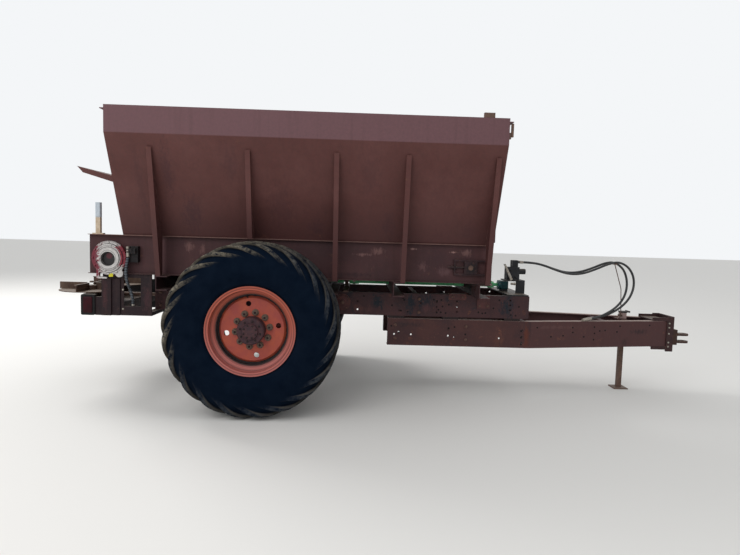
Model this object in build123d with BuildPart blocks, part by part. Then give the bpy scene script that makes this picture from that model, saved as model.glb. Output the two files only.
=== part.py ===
"""Pull-type lime spreader: V-hopper over a bar-chain conveyor, twin spinners, one axle and a tongue.

Millimetres. +X points forward to the hitch, +Y left, +Z up.
The origin is on the floor under the middle of the axle.
"""
import math
import os

from build123d import *

os.makedirs("parts", exist_ok=True)

# Fits
RUN = 0.05            # radial clearance of a shaft in its bore
SEAT = 0.3            # gap kept between curved faces of different pieces

# Wheels
HUB_Z = 850.0         # axle centre above the floor
TRACK_HALF = 1235.0   # tyre centre plane from the middle
LUG_R = 850.0         # radius over the lugs
LUG_HEIGHT = 34.0
LUG_COUNT = 20        # lugs on each side of one tyre
LUG_SWEEP = 27.0      # degrees from a lug's crown end to its shoulder end
TYRE_HALF = 300.0     # half the section width
TYRE_WALL = 30.0
RIM_R = 430.0         # rim flange radius
RIM_HALF = 265.0      # half the width over the flanges
RIM_WALL = 10.0
BEAD_R = 406.0        # bead seat
WELL_R = 354.0        # drop centre
DISC_R = 328.0        # wheel disc radius
DISC_INSET = 140.0    # disc face behind the outer flange plane
DISC_T = 16.0
HUB_R = 130.0
HUB_OUT = 128.0       # hub drum in front of the disc
CAP_R = 78.0
CAP_OUT = 22.0
SPINDLE_R = 38.0
STUD_CIRCLE_R = 167.5
STUD_COUNT = 10
STUD_R = 11.0
STUD_OUT = 34.0
HAND_HOLE_R = 26.0
HAND_HOLE_CIRCLE_R = 253.0
HAND_HOLE_COUNT = 4
HUB_FLANGE_R = 200.0
HUB_FLANGE_T = 20.0
HUB_BACK = 150.0      # hub barrel behind the disc

# Axle
AXLE_SIZE = 92.0      # square beam
AXLE_HALF = 1010.0
HANGER_T = 12.0
HANGER_DROP = 108.0
KEEPER_T = 14.0

# Frame rails
RAIL_Y = 500.0        # outer face of the rail webs
RAIL_HEIGHT = 254.0
RAIL_FLANGE = 75.0
RAIL_WEB = 9.0
RAIL_REAR = -1240.0
RAIL_FRONT = 2945.0
RAIL_HOLE_R = 10.0

# Tongue
TONGUE_GAP = 29.0     # packing between the frame rail and the tongue channel
TONGUE_HEIGHT = 305.0
TONGUE_FLANGE = 80.0
TONGUE_WEB = 10.0
TONGUE_REAR = 1352.0
TONGUE_BEND = 2965.0
TONGUE_FRONT = 4725.0
TONGUE_NOSE_Y = 165.0
PACKER_LENGTH = 180.0

# Hitch
HEAD_DEPTH = 85.0
HEAD_HEIGHT = 420.0
HEAD_WEB = 14.0
HEAD_STRAP = 175.0    # straps over and under the tongue, behind the head
HEAD_STRAP_EDGE = 40.0
CLEVIS_REACH = 120.0
CLEVIS_EAR = 158.0
CLEVIS_WIDTH = 110.0
CLEVIS_DROP = 107.0   # block foot under the middle of the jaw
CLEVIS_RISE = 106.0
CLEVIS_PLATE = 24.0   # thickness of one ear
CLEVIS_JAW = 65.0     # room between the ears
JAW_Z = 639.5         # middle of the jaw
PIN_BORE_R = 17.0

# Cross sills under the hopper
CROSS_HEIGHT = 152.0
CROSS_FLANGE = 120.0
CROSS_WEB = 8.0
CROSS_HALF = 900.0

# Sills
SILL_WEB_Y = 730.0    # outer face of the sill web
SILL_FLANGE = 45.0    # flange, turned outward
SILL_T = 6.0
SILL_HEIGHT = 414.0
SILL_REAR = -1845.0

# Hopper
HOPPER_REAR = -1485.0
HOPPER_FRONT = 2445.0
HOPPER_HALF = 1200.0
HOPPER_TOP = 2966.0
BAND_HEIGHT = 260.0
SHEET_T = 5.0
LIP = 38.0            # top edge turned inward
SHEET_FOOT_Y = 752.0  # outer face of the sloped sheet where it meets the sill

# Side ribs
RIB_FACE = 50.0
RIB_T = 8.0
RIB_TOP_DROP = 122.0  # rib top under the foot of the band
RIB_TOP_PROUD = 14.0
RIB_FOOT_Y = 892.0

# Conveyor
SHAFT_Z = 1470.0
DRIVE_X = -1612.0     # rear shaft
IDLER_X = 2210.0      # front shaft
CHAIN_R = 90.0        # chain centre line round the sprockets
CHAIN_THICK = 24.0
CHAIN_WIDTH = 34.0
CHAIN_Y = 640.0
SLAT_COUNT = 32
SLAT_HEIGHT = 24.0
SLAT_WIDTH = 40.0
CONVEYOR_SHAFT_R = 28.0
SPROCKET_T = 26.0
FLOOR_T = 5.0

# Feed gate
GATE_OPENING = 300.0
GATE_HALF = 640.0
GATE_HEIGHT = 440.0
GATE_T = 8.0
GATE_TRAVEL = 240.0
GATE_CLEAR = 6.0
GUIDE_WIDTH = 46.0
JACK_SCREW_R = 14.0
JACK_TUBE_R = 28.0

# Spinners
SPINNER_X = -1985.0
SPINNER_Y = 400.0
SPINNER_Z = 1092.0    # top face of the discs
SPINNER_R = 325.0
SPINNER_T = 8.0
VANE_COUNT = 4
VANE_HEIGHT = 75.0
VANE_LIP = 24.0       # top edge of a vane, turned over
VANE_T = 7.0
VANE_OVER = 25.0      # vane past the disc's rim
VANE_IN_HUB = 6.0
SPINNER_HUB_R = 62.0
SPINNER_SHAFT_R = 20.0
SPINNER_GAP = 8.0

# Driveline
DRIVE_LINE_Z = 1236.0
TUBE_R = 29.0
STUB_R = 19.0
DRIVE_LINE_REAR = -1225.0
DRIVE_LINE_FRONT = 2700.0
DRIVE_LINE_HOLE_R = 42.0

# Jack
JACK_X = 4262.0
JACK_LEG_HALF = 26.0
JACK_SLEEVE_HALF = 34.0
JACK_FOOT_HALF = 85.0
JACK_FOOT_T = 12.0

# Heights and lengths worked out from the sizes above
RAIL_BOTTOM = HUB_Z + AXLE_SIZE / 2
RAIL_TOP = RAIL_BOTTOM + RAIL_HEIGHT
TONGUE_TOP = RAIL_BOTTOM - TONGUE_GAP
TONGUE_BOTTOM = TONGUE_TOP - TONGUE_HEIGHT
SILL_BOTTOM = RAIL_TOP + CROSS_HEIGHT
SILL_TOP = SILL_BOTTOM + SILL_HEIGHT
BAND_FOOT = HOPPER_TOP - BAND_HEIGHT
SLOPE = (HOPPER_HALF - SHEET_FOOT_Y) / (BAND_FOOT - SILL_TOP)
RIB_TOP = BAND_FOOT - RIB_TOP_DROP
CHAIN_TOP = SHAFT_Z + CHAIN_R + CHAIN_THICK / 2
FLOOR_TOP = SHAFT_Z + CHAIN_R - CHAIN_THICK / 2 - 2
HUB_AXIS = Axis((0, 0, HUB_Z), (0, 1, 0))
WHEEL_PLANE = Plane(origin=(0, 0, HUB_Z), x_dir=(0, 1, 0), z_dir=(1, 0, 0))
FLANGE_PLANE_Y = TRACK_HALF + RIM_HALF
DISC_FACE_Y = FLANGE_PLANE_Y - DISC_INSET

# Rib and cross sill stations along the hopper
RIB_STATIONS = [
    # x, foot of the rib above the floor, middle of the cross sill ahead of the rib
    (-1070.0, SILL_BOTTOM, 34.0),
    (-112.0, SILL_TOP, 0.0),
    (762.0, SILL_BOTTOM, -30.0),
    (1474.0, SILL_BOTTOM, -36.0),
    (2368.0, SILL_BOTTOM, -24.0),
]


def mirrored(piece):
    """The same piece on the other side of the machine."""
    with BuildPart() as twin:
        mirror(piece.part, about=Plane.XZ)
    return twin


def channel(points, bottom, height, flange, web, side):
    """Rolled channel whose web follows a plan line, flanges turned to one side."""
    thick = web * 1.3
    with BuildPart() as bar:
        for width, low, depth in (
            (web, bottom, height),
            (flange, bottom, thick),
            (flange, bottom + height - thick, thick),
        ):
            with BuildSketch(Plane.XY.offset(low)):
                with BuildLine():
                    Polyline(*points)
                    offset(amount=width, side=side)
                make_face()
            extrude(amount=depth)
    return bar


def web_holes(bar, holes, radius, y_face, depth):
    """Round holes through a web that faces outward on the right-hand side."""
    with BuildPart() as drilled:
        add(bar.part)
        with BuildSketch(Plane.XZ.offset(y_face)):
            with Locations(*holes):
                Circle(radius)
        extrude(amount=-depth, mode=Mode.SUBTRACT)
    return drilled


# Frame rails: 10 inch channel, web outward
rail_holes = [
    (x, RAIL_BOTTOM + up)
    for x, ups in (
        (905.0, (190.0,)),
        (1010.0, (60.0, 150.0)),
        (1480.0, (60.0,)),
        (1520.0, (195.0,)),
        (1720.0, (150.0,)),
        (1900.0, (55.0, 110.0, 165.0)),
        (2130.0, (60.0, 120.0, 180.0)),
        (2730.0, (95.0, 150.0, 205.0)),
        (RAIL_REAR + 60.0, (60.0, 190.0)),
    )
    for up in ups
]
frame_rail_right = web_holes(
    channel(
        [(RAIL_REAR, -RAIL_Y), (RAIL_FRONT, -RAIL_Y)],
        RAIL_BOTTOM, RAIL_HEIGHT, RAIL_FLANGE, RAIL_WEB, Side.LEFT,
    ),
    rail_holes, RAIL_HOLE_R, RAIL_Y, RAIL_WEB + 1,
)
frame_rail_left = mirrored(frame_rail_right)

# Cross members between the frame rails, webs to the rear
MEMBER_FLANGE = 50.0
CROSS_MEMBER_X = (RAIL_REAR, -640.0, 560.0, 1650.0, RAIL_FRONT - MEMBER_FLANGE - 5.0)
cross_member_half = RAIL_Y - RAIL_WEB
members = [
    channel(
        [(x, -cross_member_half), (x, cross_member_half)],
        RAIL_BOTTOM + RAIL_WEB * 1.3, RAIL_HEIGHT - RAIL_WEB * 2.6, MEMBER_FLANGE, RAIL_WEB, Side.RIGHT,
    ).part
    for x in CROSS_MEMBER_X
]
with BuildPart() as frame_crossmembers:
    add(members)

# Brackets on the rails: round casting over the axle's front, angle clip and fish plate under the hopper
CASTING_X = 840.0
CASTING_Z = 1035.0
CASTING_STEPS = [
    # radius, thickness
    (93.0, 12.0),
    (70.0, 16.0),
    (38.0, 12.0),
]
CLIP_X = 2130.0
CLIP_LENGTH = 200.0
CLIP_DROP = 58.0
CLIP_T = 10.0
FISH_LENGTH = 144.0
FISH_DROP = 148.0
with BuildPart() as right_brackets:
    face = RAIL_Y
    for radius, thick in CASTING_STEPS:
        with BuildSketch(Plane.XZ.offset(face)):
            with Locations((CASTING_X, CASTING_Z)):
                Circle(radius)
        extrude(amount=thick)
        face += thick
    with Locations((CLIP_X, -RAIL_Y - CLIP_T / 2, RAIL_TOP - CLIP_DROP / 2 + CLIP_T / 2)):
        Box(CLIP_LENGTH, CLIP_T, CLIP_DROP + CLIP_T)
    with Locations((CLIP_X, -RAIL_Y + RAIL_FLANGE / 2 - CLIP_T / 2, RAIL_TOP + CLIP_T / 2)):
        Box(CLIP_LENGTH, RAIL_FLANGE + CLIP_T, CLIP_T)
    with Locations((RIB_STATIONS[-1][0] + 57.0, -RAIL_Y - CLIP_T / 2, RAIL_TOP - FISH_DROP / 2)):
        Box(FISH_LENGTH, CLIP_T, FISH_DROP)
left_brackets = mirrored(right_brackets)
with BuildPart() as rail_brackets:
    add(right_brackets.part)
    add(left_brackets.part)

# Tongue: 12 inch channels under the rails, then drawn in to the nose
tongue_path = [(TONGUE_REAR, -RAIL_Y), (TONGUE_BEND, -RAIL_Y), (TONGUE_FRONT, -TONGUE_NOSE_Y)]
tongue_holes = [
    (x, TONGUE_BOTTOM + up)
    for x, ups in (
        (1430.0, (125.0,)),
        (1480.0, (150.0,)),
        (1620.0, (125.0,)),
        (2040.0, (120.0, 200.0)),
        (2110.0, (110.0,)),
        (2620.0, (105.0,)),
        (TONGUE_BEND - 85.0, (60.0, 130.0, 200.0)),
    )
    for up in ups
]
tongue_rail_right = web_holes(
    channel(
        tongue_path, TONGUE_BOTTOM, TONGUE_HEIGHT, TONGUE_FLANGE, TONGUE_WEB, Side.LEFT,
    ),
    tongue_holes, RAIL_HOLE_R, RAIL_Y, TONGUE_WEB + 1,
)
tongue_rail_left = mirrored(tongue_rail_right)

# Tongue cross members and the packing between rails and tongue
tongue_flange_t = TONGUE_WEB * 1.3
tongue_slope = (RAIL_Y - TONGUE_NOSE_Y) / (TONGUE_FRONT - TONGUE_BEND)
web_skew = TONGUE_WEB * math.hypot(1.0, tongue_slope)


def tongue_inner_half(x):
    """Half the width between the webs of the tongue at a place along it."""
    if x <= TONGUE_BEND:
        return RAIL_Y - TONGUE_WEB
    return RAIL_Y - (x - TONGUE_BEND) * tongue_slope - web_skew


TONGUE_MEMBERS = [
    # x, flange length
    (1400.0, 50.0),
    (2200.0, 50.0),
    (2900.0, 50.0),
    (3930.0, 60.0),
]
with BuildPart() as tongue_crossmembers:
    for x, flange in TONGUE_MEMBERS:
        half = tongue_inner_half(x + flange)
        low = TONGUE_BOTTOM + tongue_flange_t
        with BuildSketch(Plane.XZ.offset(-half)):
            with BuildLine():
                Polyline(
                    (x + flange, low), (x, low), (x, low + TONGUE_HEIGHT - 2 * tongue_flange_t),
                    (x + flange, low + TONGUE_HEIGHT - 2 * tongue_flange_t),
                )
                offset(amount=8.0, side=Side.RIGHT)
            make_face()
        extrude(amount=2 * half)
    for x in (1450.0, 2060.0, 2760.0):
        for side in (-1, 1):
            with Locations((x, side * (RAIL_Y - RAIL_FLANGE / 2), RAIL_BOTTOM - TONGUE_GAP / 2)):
                Box(PACKER_LENGTH, RAIL_FLANGE, TONGUE_GAP)

# Hitch head: upright channel across the nose, with the clevis on its face
head_low = TONGUE_BOTTOM - 62.0
with BuildPart() as hitch_head:
    with BuildSketch(Plane.XY.offset(head_low)):
        with Locations((TONGUE_FRONT + HEAD_DEPTH - HEAD_WEB / 2, 0)):
            Rectangle(HEAD_WEB, 2 * TONGUE_NOSE_Y + 20)
        for side in (-1, 1):
            with Locations((TONGUE_FRONT + HEAD_DEPTH / 2, side * (TONGUE_NOSE_Y + 10 - HEAD_WEB / 2))):
                Rectangle(HEAD_DEPTH, HEAD_WEB)
    extrude(amount=HEAD_HEIGHT)
    strap_x = TONGUE_FRONT - HEAD_STRAP / 2 + HEAD_WEB
    for level, way in ((TONGUE_TOP, 1), (TONGUE_BOTTOM, -1)):
        with BuildSketch(Plane.XY.offset(level)):
            with Locations((strap_x, 0)):
                Rectangle(HEAD_STRAP + 2 * HEAD_WEB, 2 * TONGUE_NOSE_Y + 20)
        extrude(amount=way * HEAD_WEB)
        with BuildSketch(Plane.XY.offset(level)):
            for side in (-1, 1):
                with Locations((strap_x, side * (TONGUE_NOSE_Y + 10 - HEAD_WEB / 2))):
                    Rectangle(HEAD_STRAP + 2 * HEAD_WEB, HEAD_WEB)
        extrude(amount=way * HEAD_STRAP_EDGE)
    with BuildSketch(Plane.YZ.offset(TONGUE_FRONT + HEAD_DEPTH)):
        with Locations((0, TONGUE_TOP - 20), (0, TONGUE_BOTTOM - 20)):
            with GridLocations(2 * TONGUE_NOSE_Y - 90, 60, 2, 1):
                Circle(11.0)
    extrude(amount=-HEAD_WEB, mode=Mode.SUBTRACT)

clevis_x = TONGUE_FRONT + HEAD_DEPTH
pin_x = clevis_x + CLEVIS_REACH + CLEVIS_EAR - CLEVIS_WIDTH / 2
ear_low = JAW_Z - CLEVIS_JAW / 2 - CLEVIS_PLATE
with BuildPart() as hitch_clevis:
    with BuildSketch(Plane.XY.offset(JAW_Z - CLEVIS_DROP + 28.0)):
        with Locations((clevis_x + CLEVIS_REACH / 2, 0)):
            Rectangle(CLEVIS_REACH, CLEVIS_WIDTH)
    extrude(amount=CLEVIS_DROP + CLEVIS_RISE - 28.0)
    for low in (ear_low, JAW_Z + CLEVIS_JAW / 2):
        with BuildSketch(Plane.XY.offset(low)):
            with Locations(((clevis_x + CLEVIS_REACH + pin_x) / 2, 0)):
                Rectangle(pin_x - clevis_x - CLEVIS_REACH, CLEVIS_WIDTH)
            with Locations((pin_x, 0)):
                Circle(CLEVIS_WIDTH / 2)
        extrude(amount=CLEVIS_PLATE)
    with BuildSketch(Plane.XY.offset(ear_low)):
        with Locations((pin_x, 0)):
            Circle(PIN_BORE_R)
    extrude(amount=2 * CLEVIS_PLATE + CLEVIS_JAW, mode=Mode.SUBTRACT)

# Axle: square beam with a round spindle turned on each end
with BuildPart() as axle_beam:
    with Locations((0, 0, HUB_Z)):
        Box(AXLE_SIZE, 2 * AXLE_HALF, AXLE_SIZE)
    with BuildSketch(Plane.XZ.offset(-DISC_FACE_Y)):
        with Locations((0, HUB_Z)):
            Circle(SPINDLE_R)
    extrude(amount=2 * DISC_FACE_Y)

# Axle hangers: plates welded under the rails before and behind the beam, with a keeper below
with BuildPart() as axle_mounts:
    for side in (-1, 1):
        y = side * (RAIL_Y - RAIL_FLANGE / 2)
        for end in (-1, 1):
            with Locations((end * (AXLE_SIZE + HANGER_T) / 2, y, RAIL_BOTTOM - HANGER_DROP / 2)):
                Box(HANGER_T, 150.0, HANGER_DROP)
        with Locations((0, y, RAIL_BOTTOM - AXLE_SIZE - KEEPER_T / 2)):
            Box(AXLE_SIZE, 150.0, KEEPER_T)


# Hopper sides: one sheet with a vertical band, the slope and a lip turned in at the top
def bent_sheet(section, thickness, start, length):
    """Sheet folded along the machine, drawn by the outer line of its cross-section."""
    with BuildPart() as sheet:
        with BuildSketch(Plane.YZ.offset(start)):
            with BuildLine():
                Polyline(*section)
                offset(amount=thickness, side=Side.LEFT)
            make_face()
        extrude(amount=length)
    return sheet


side_section = [
    (-SHEET_FOOT_Y, SILL_TOP),
    (-HOPPER_HALF, BAND_FOOT),
    (-HOPPER_HALF, HOPPER_TOP),
    (-HOPPER_HALF + LIP, HOPPER_TOP),
]
hopper_side_right = bent_sheet(
    side_section[::-1], SHEET_T, HOPPER_REAR, HOPPER_FRONT - HOPPER_REAR
)
hopper_side_left = mirrored(hopper_side_right)

# Hopper ends: plates between the side sheets
slope_skin = SHEET_T * math.hypot(1.0, SLOPE)
inner_half = HOPPER_HALF - SHEET_T
bend_rise = SHEET_T * (math.hypot(1.0, SLOPE) - 1) / SLOPE
inner_foot = SHEET_FOOT_Y - slope_skin
end_outline = [
    (-inner_foot, SILL_TOP),
    (-inner_half, BAND_FOOT + bend_rise),
    (-inner_half, HOPPER_TOP - SHEET_T),
    (inner_half, HOPPER_TOP - SHEET_T),
    (inner_half, BAND_FOOT + bend_rise),
    (inner_foot, SILL_TOP),
]
sill_inner_half = SILL_WEB_Y - SILL_T
with BuildPart() as hopper_front:
    with BuildSketch(Plane.YZ.offset(HOPPER_FRONT - SHEET_T)):
        Polygon(*end_outline, align=None)
        with Locations((0, (SILL_TOP + CHAIN_TOP + 60) / 2)):
            Rectangle(2 * sill_inner_half, SILL_TOP - CHAIN_TOP - 60)
    extrude(amount=SHEET_T)
    for y in (-620.0, 0.0, 620.0):
        with Locations((HOPPER_FRONT + 25.0, y, (SILL_TOP + HOPPER_TOP) / 2)):
            Box(50.0, RIB_T, HOPPER_TOP - SILL_TOP - 60.0)
    with Locations((HOPPER_FRONT + 20.0, 0, HOPPER_TOP - 34.0)):
        Box(40.0, 2 * inner_half, 8.0)

gate_low = CHAIN_TOP + 6.0
GUIDE_TOP = 2280.0
with BuildPart() as hopper_rear:
    with BuildSketch(Plane.YZ.offset(HOPPER_REAR)):
        Polygon(*end_outline, align=None)
        with Locations((0, (gate_low + GATE_OPENING + SILL_TOP) / 2)):
            Rectangle(2 * (GATE_HALF - 20), GATE_OPENING + gate_low - SILL_TOP + 0.01)
        with Locations((0, SILL_TOP + (gate_low + GATE_OPENING - SILL_TOP) / 2)):
            Rectangle(
                2 * (GATE_HALF - 20), gate_low + GATE_OPENING - SILL_TOP + 2,
                mode=Mode.SUBTRACT,
            )
    extrude(amount=SHEET_T)
    with Locations((HOPPER_REAR - 20.0, 0, HOPPER_TOP - 34.0)):
        Box(40.0, 2 * inner_half, 8.0)
    for side in (-1, 1):
        with Locations(
            (HOPPER_REAR - GATE_T / 2 - GATE_CLEAR, side * (GATE_HALF + GUIDE_WIDTH / 2 + GATE_CLEAR),
             (SILL_TOP + GUIDE_TOP) / 2)
        ):
            Box(GATE_T + 2 * GATE_CLEAR, GUIDE_WIDTH, GUIDE_TOP - SILL_TOP)

# Sills: folded channels, flanges outward
with BuildPart() as sill_right:
    with BuildSketch(Plane.YZ.offset(SILL_REAR)):
        with BuildLine():
            Polyline(
                (-SILL_WEB_Y - SILL_FLANGE, SILL_TOP), (-SILL_WEB_Y + SILL_T, SILL_TOP),
                (-SILL_WEB_Y + SILL_T, SILL_BOTTOM), (-SILL_WEB_Y - SILL_FLANGE, SILL_BOTTOM),
            )
            offset(amount=SILL_T, side=Side.RIGHT)
        make_face()
    extrude(amount=HOPPER_FRONT - SILL_REAR)
    for shaft_x in (DRIVE_X, IDLER_X):
        with BuildSketch(Plane.XZ.offset(SILL_WEB_Y)):
            with Locations((shaft_x, SHAFT_Z)):
                Circle(CONVEYOR_SHAFT_R + 12)
        extrude(amount=-SILL_T, mode=Mode.SUBTRACT)
sill_left = mirrored(sill_right)

# Side ribs: web tapering up the slope, with a face strip on its outer edge
with BuildPart() as side_ribs_right:
    rib_top_y = SHEET_FOOT_Y + (RIB_TOP - SILL_TOP) * SLOPE
    edge_lean = (rib_top_y + RIB_TOP_PROUD - RIB_FOOT_Y) / (RIB_TOP - SILL_BOTTOM)
    for x, foot, _ in RIB_STATIONS:
        foot_y = RIB_FOOT_Y + (foot - SILL_BOTTOM) * edge_lean
        inner = [(-SHEET_FOOT_Y, SILL_TOP)] if foot == SILL_TOP else [
            (-SHEET_FOOT_Y, SILL_TOP), (-SILL_WEB_Y - SILL_FLANGE, SILL_TOP),
            (-SILL_WEB_Y - SILL_FLANGE, SILL_BOTTOM),
        ]
        with BuildSketch(Plane.YZ.offset(x - RIB_T / 2)):
            with BuildLine():
                Polyline(
                    (-rib_top_y, RIB_TOP), *inner, (-foot_y, foot),
                    (-rib_top_y - RIB_TOP_PROUD, RIB_TOP), close=True,
                )
            make_face()
        extrude(amount=RIB_T)
        with BuildSketch(Plane.YZ.offset(x - RIB_FACE / 2)):
            with BuildLine():
                Polyline(
                    (-foot_y, foot), (-rib_top_y - RIB_TOP_PROUD, RIB_TOP),
                    (-rib_top_y - RIB_TOP_PROUD - RIB_T, RIB_TOP), (-foot_y - RIB_T, foot), close=True,
                )
            make_face()
        extrude(amount=RIB_FACE)
side_ribs_left = mirrored(side_ribs_right)

# Cross sills: 6 inch channels lying over the rails, bored for the driveline
sill_members = [
    channel(
        [(x + ahead - CROSS_FLANGE / 2, -CROSS_HALF), (x + ahead - CROSS_FLANGE / 2, CROSS_HALF)],
        RAIL_TOP, CROSS_HEIGHT, CROSS_FLANGE, CROSS_WEB, Side.RIGHT,
    ).part
    for x, _, ahead in RIB_STATIONS
]
with BuildPart() as cross_sills:
    add(sill_members)
    with BuildSketch(Plane.YZ.offset(HOPPER_REAR)):
        with Locations((0, DRIVE_LINE_Z)):
            Circle(DRIVE_LINE_HOLE_R)
    extrude(amount=HOPPER_FRONT - HOPPER_REAR, mode=Mode.SUBTRACT)

# Conveyor floor: deck under the upper run and bearer angles on the cross sills
deck_rear = DRIVE_X + CHAIN_R + 40
deck_front = IDLER_X - CHAIN_R - 40
with BuildPart() as conveyor_floor:
    with Locations(((deck_rear + deck_front) / 2, 0, FLOOR_TOP - FLOOR_T / 2)):
        Box(deck_front - deck_rear, 2 * sill_inner_half, FLOOR_T)
    for y in (-400.0, 0.0, 400.0):
        with Locations(((deck_rear + deck_front) / 2, y, FLOOR_TOP - FLOOR_T - 25.0)):
            Box(deck_front - deck_rear, 8.0, 50.0)

# Conveyor chain: two endless chains with slats across them, one fixed loop
with BuildPart() as conveyor_chain:
    loop_centre = ((DRIVE_X + IDLER_X) / 2, SHAFT_Z)
    for y in (-CHAIN_Y, CHAIN_Y):
        with BuildSketch(Plane.XZ.offset(-y - CHAIN_WIDTH / 2)):
            with Locations(loop_centre):
                SlotCenterToCenter(IDLER_X - DRIVE_X, 2 * CHAIN_R + CHAIN_THICK)
                SlotCenterToCenter(IDLER_X - DRIVE_X, 2 * CHAIN_R - CHAIN_THICK, mode=Mode.SUBTRACT)
        extrude(amount=CHAIN_WIDTH)
    with BuildLine(Plane.XZ) as loop_line:
        Line((DRIVE_X, SHAFT_Z + CHAIN_R), (IDLER_X, SHAFT_Z + CHAIN_R))
        ThreePointArc(
            (IDLER_X, SHAFT_Z + CHAIN_R), (IDLER_X + CHAIN_R, SHAFT_Z), (IDLER_X, SHAFT_Z - CHAIN_R)
        )
        Line((IDLER_X, SHAFT_Z - CHAIN_R), (DRIVE_X, SHAFT_Z - CHAIN_R))
        ThreePointArc(
            (DRIVE_X, SHAFT_Z - CHAIN_R), (DRIVE_X - CHAIN_R, SHAFT_Z), (DRIVE_X, SHAFT_Z + CHAIN_R)
        )
    loop_wire = loop_line.wire()
    for slat in range(SLAT_COUNT):
        place = loop_wire % ((slat + 0.5) / SLAT_COUNT)
        spot = loop_wire @ ((slat + 0.5) / SLAT_COUNT)
        with BuildSketch(Plane(origin=(spot.X, 0, spot.Z), x_dir=(place.X, 0, place.Z), z_dir=(0, 1, 0))):
            Rectangle(SLAT_WIDTH, SLAT_HEIGHT)
        extrude(amount=CHAIN_Y - CHAIN_WIDTH / 2 + 1, both=True)

# Conveyor shafts with their sprockets and the drum between them
with BuildPart() as conveyor_rollers:
    for x in (DRIVE_X, IDLER_X):
        with BuildSketch(Plane.XZ.offset(-SILL_WEB_Y - 40)):
            with Locations((x, SHAFT_Z)):
                Circle(CONVEYOR_SHAFT_R)
        extrude(amount=2 * (SILL_WEB_Y + 40))
        for y in (-CHAIN_Y, CHAIN_Y):
            with BuildSketch(Plane.XZ.offset(-y - SPROCKET_T / 2)):
                with Locations((x, SHAFT_Z)):
                    Circle(CHAIN_R - CHAIN_THICK / 2 - SEAT)
            extrude(amount=SPROCKET_T)

# Take-ups: bearing block between two bars on the front of each sill, drawn by a threaded rod
TAKE_UP_REAR = 2032.0
TAKE_UP_FRONT = 2384.0
TAKE_UP_HALF = 84.0
BLOCK_HALF_X = 70.0
BLOCK_HALF_Z = 62.0
BLOCK_T = 44.0
ROD_R = 9.0
ROD_REAR = TAKE_UP_REAR - 70.0
with BuildPart() as take_up_right:
    for side in (-1, 1):
        with Locations(
            ((TAKE_UP_REAR + TAKE_UP_FRONT) / 2, -SILL_WEB_Y - 15.0, SHAFT_Z + side * (TAKE_UP_HALF - 9.0))
        ):
            Box(TAKE_UP_FRONT - TAKE_UP_REAR, 30.0, 18.0)
    for x in (TAKE_UP_REAR + 6.0, TAKE_UP_FRONT - 6.0):
        with Locations((x, -SILL_WEB_Y - 15.0, SHAFT_Z)):
            Box(12.0, 30.0, 2 * TAKE_UP_HALF)
    with Locations((IDLER_X, -SILL_WEB_Y - BLOCK_T / 2, SHAFT_Z)):
        Box(2 * BLOCK_HALF_X, BLOCK_T, 2 * (TAKE_UP_HALF - 18.0))
        Cylinder(CONVEYOR_SHAFT_R + RUN, BLOCK_T, rotation=(90, 0, 0), mode=Mode.SUBTRACT)
    with BuildSketch(Plane.YZ.offset(ROD_REAR)):
        with Locations((-SILL_WEB_Y - BLOCK_T / 2, SHAFT_Z)):
            Circle(ROD_R)
    extrude(amount=IDLER_X - BLOCK_HALF_X - ROD_REAR)
take_up_left = mirrored(take_up_right)
with BuildPart() as take_ups:
    add(take_up_right.part)
    add(take_up_left.part)

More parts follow.
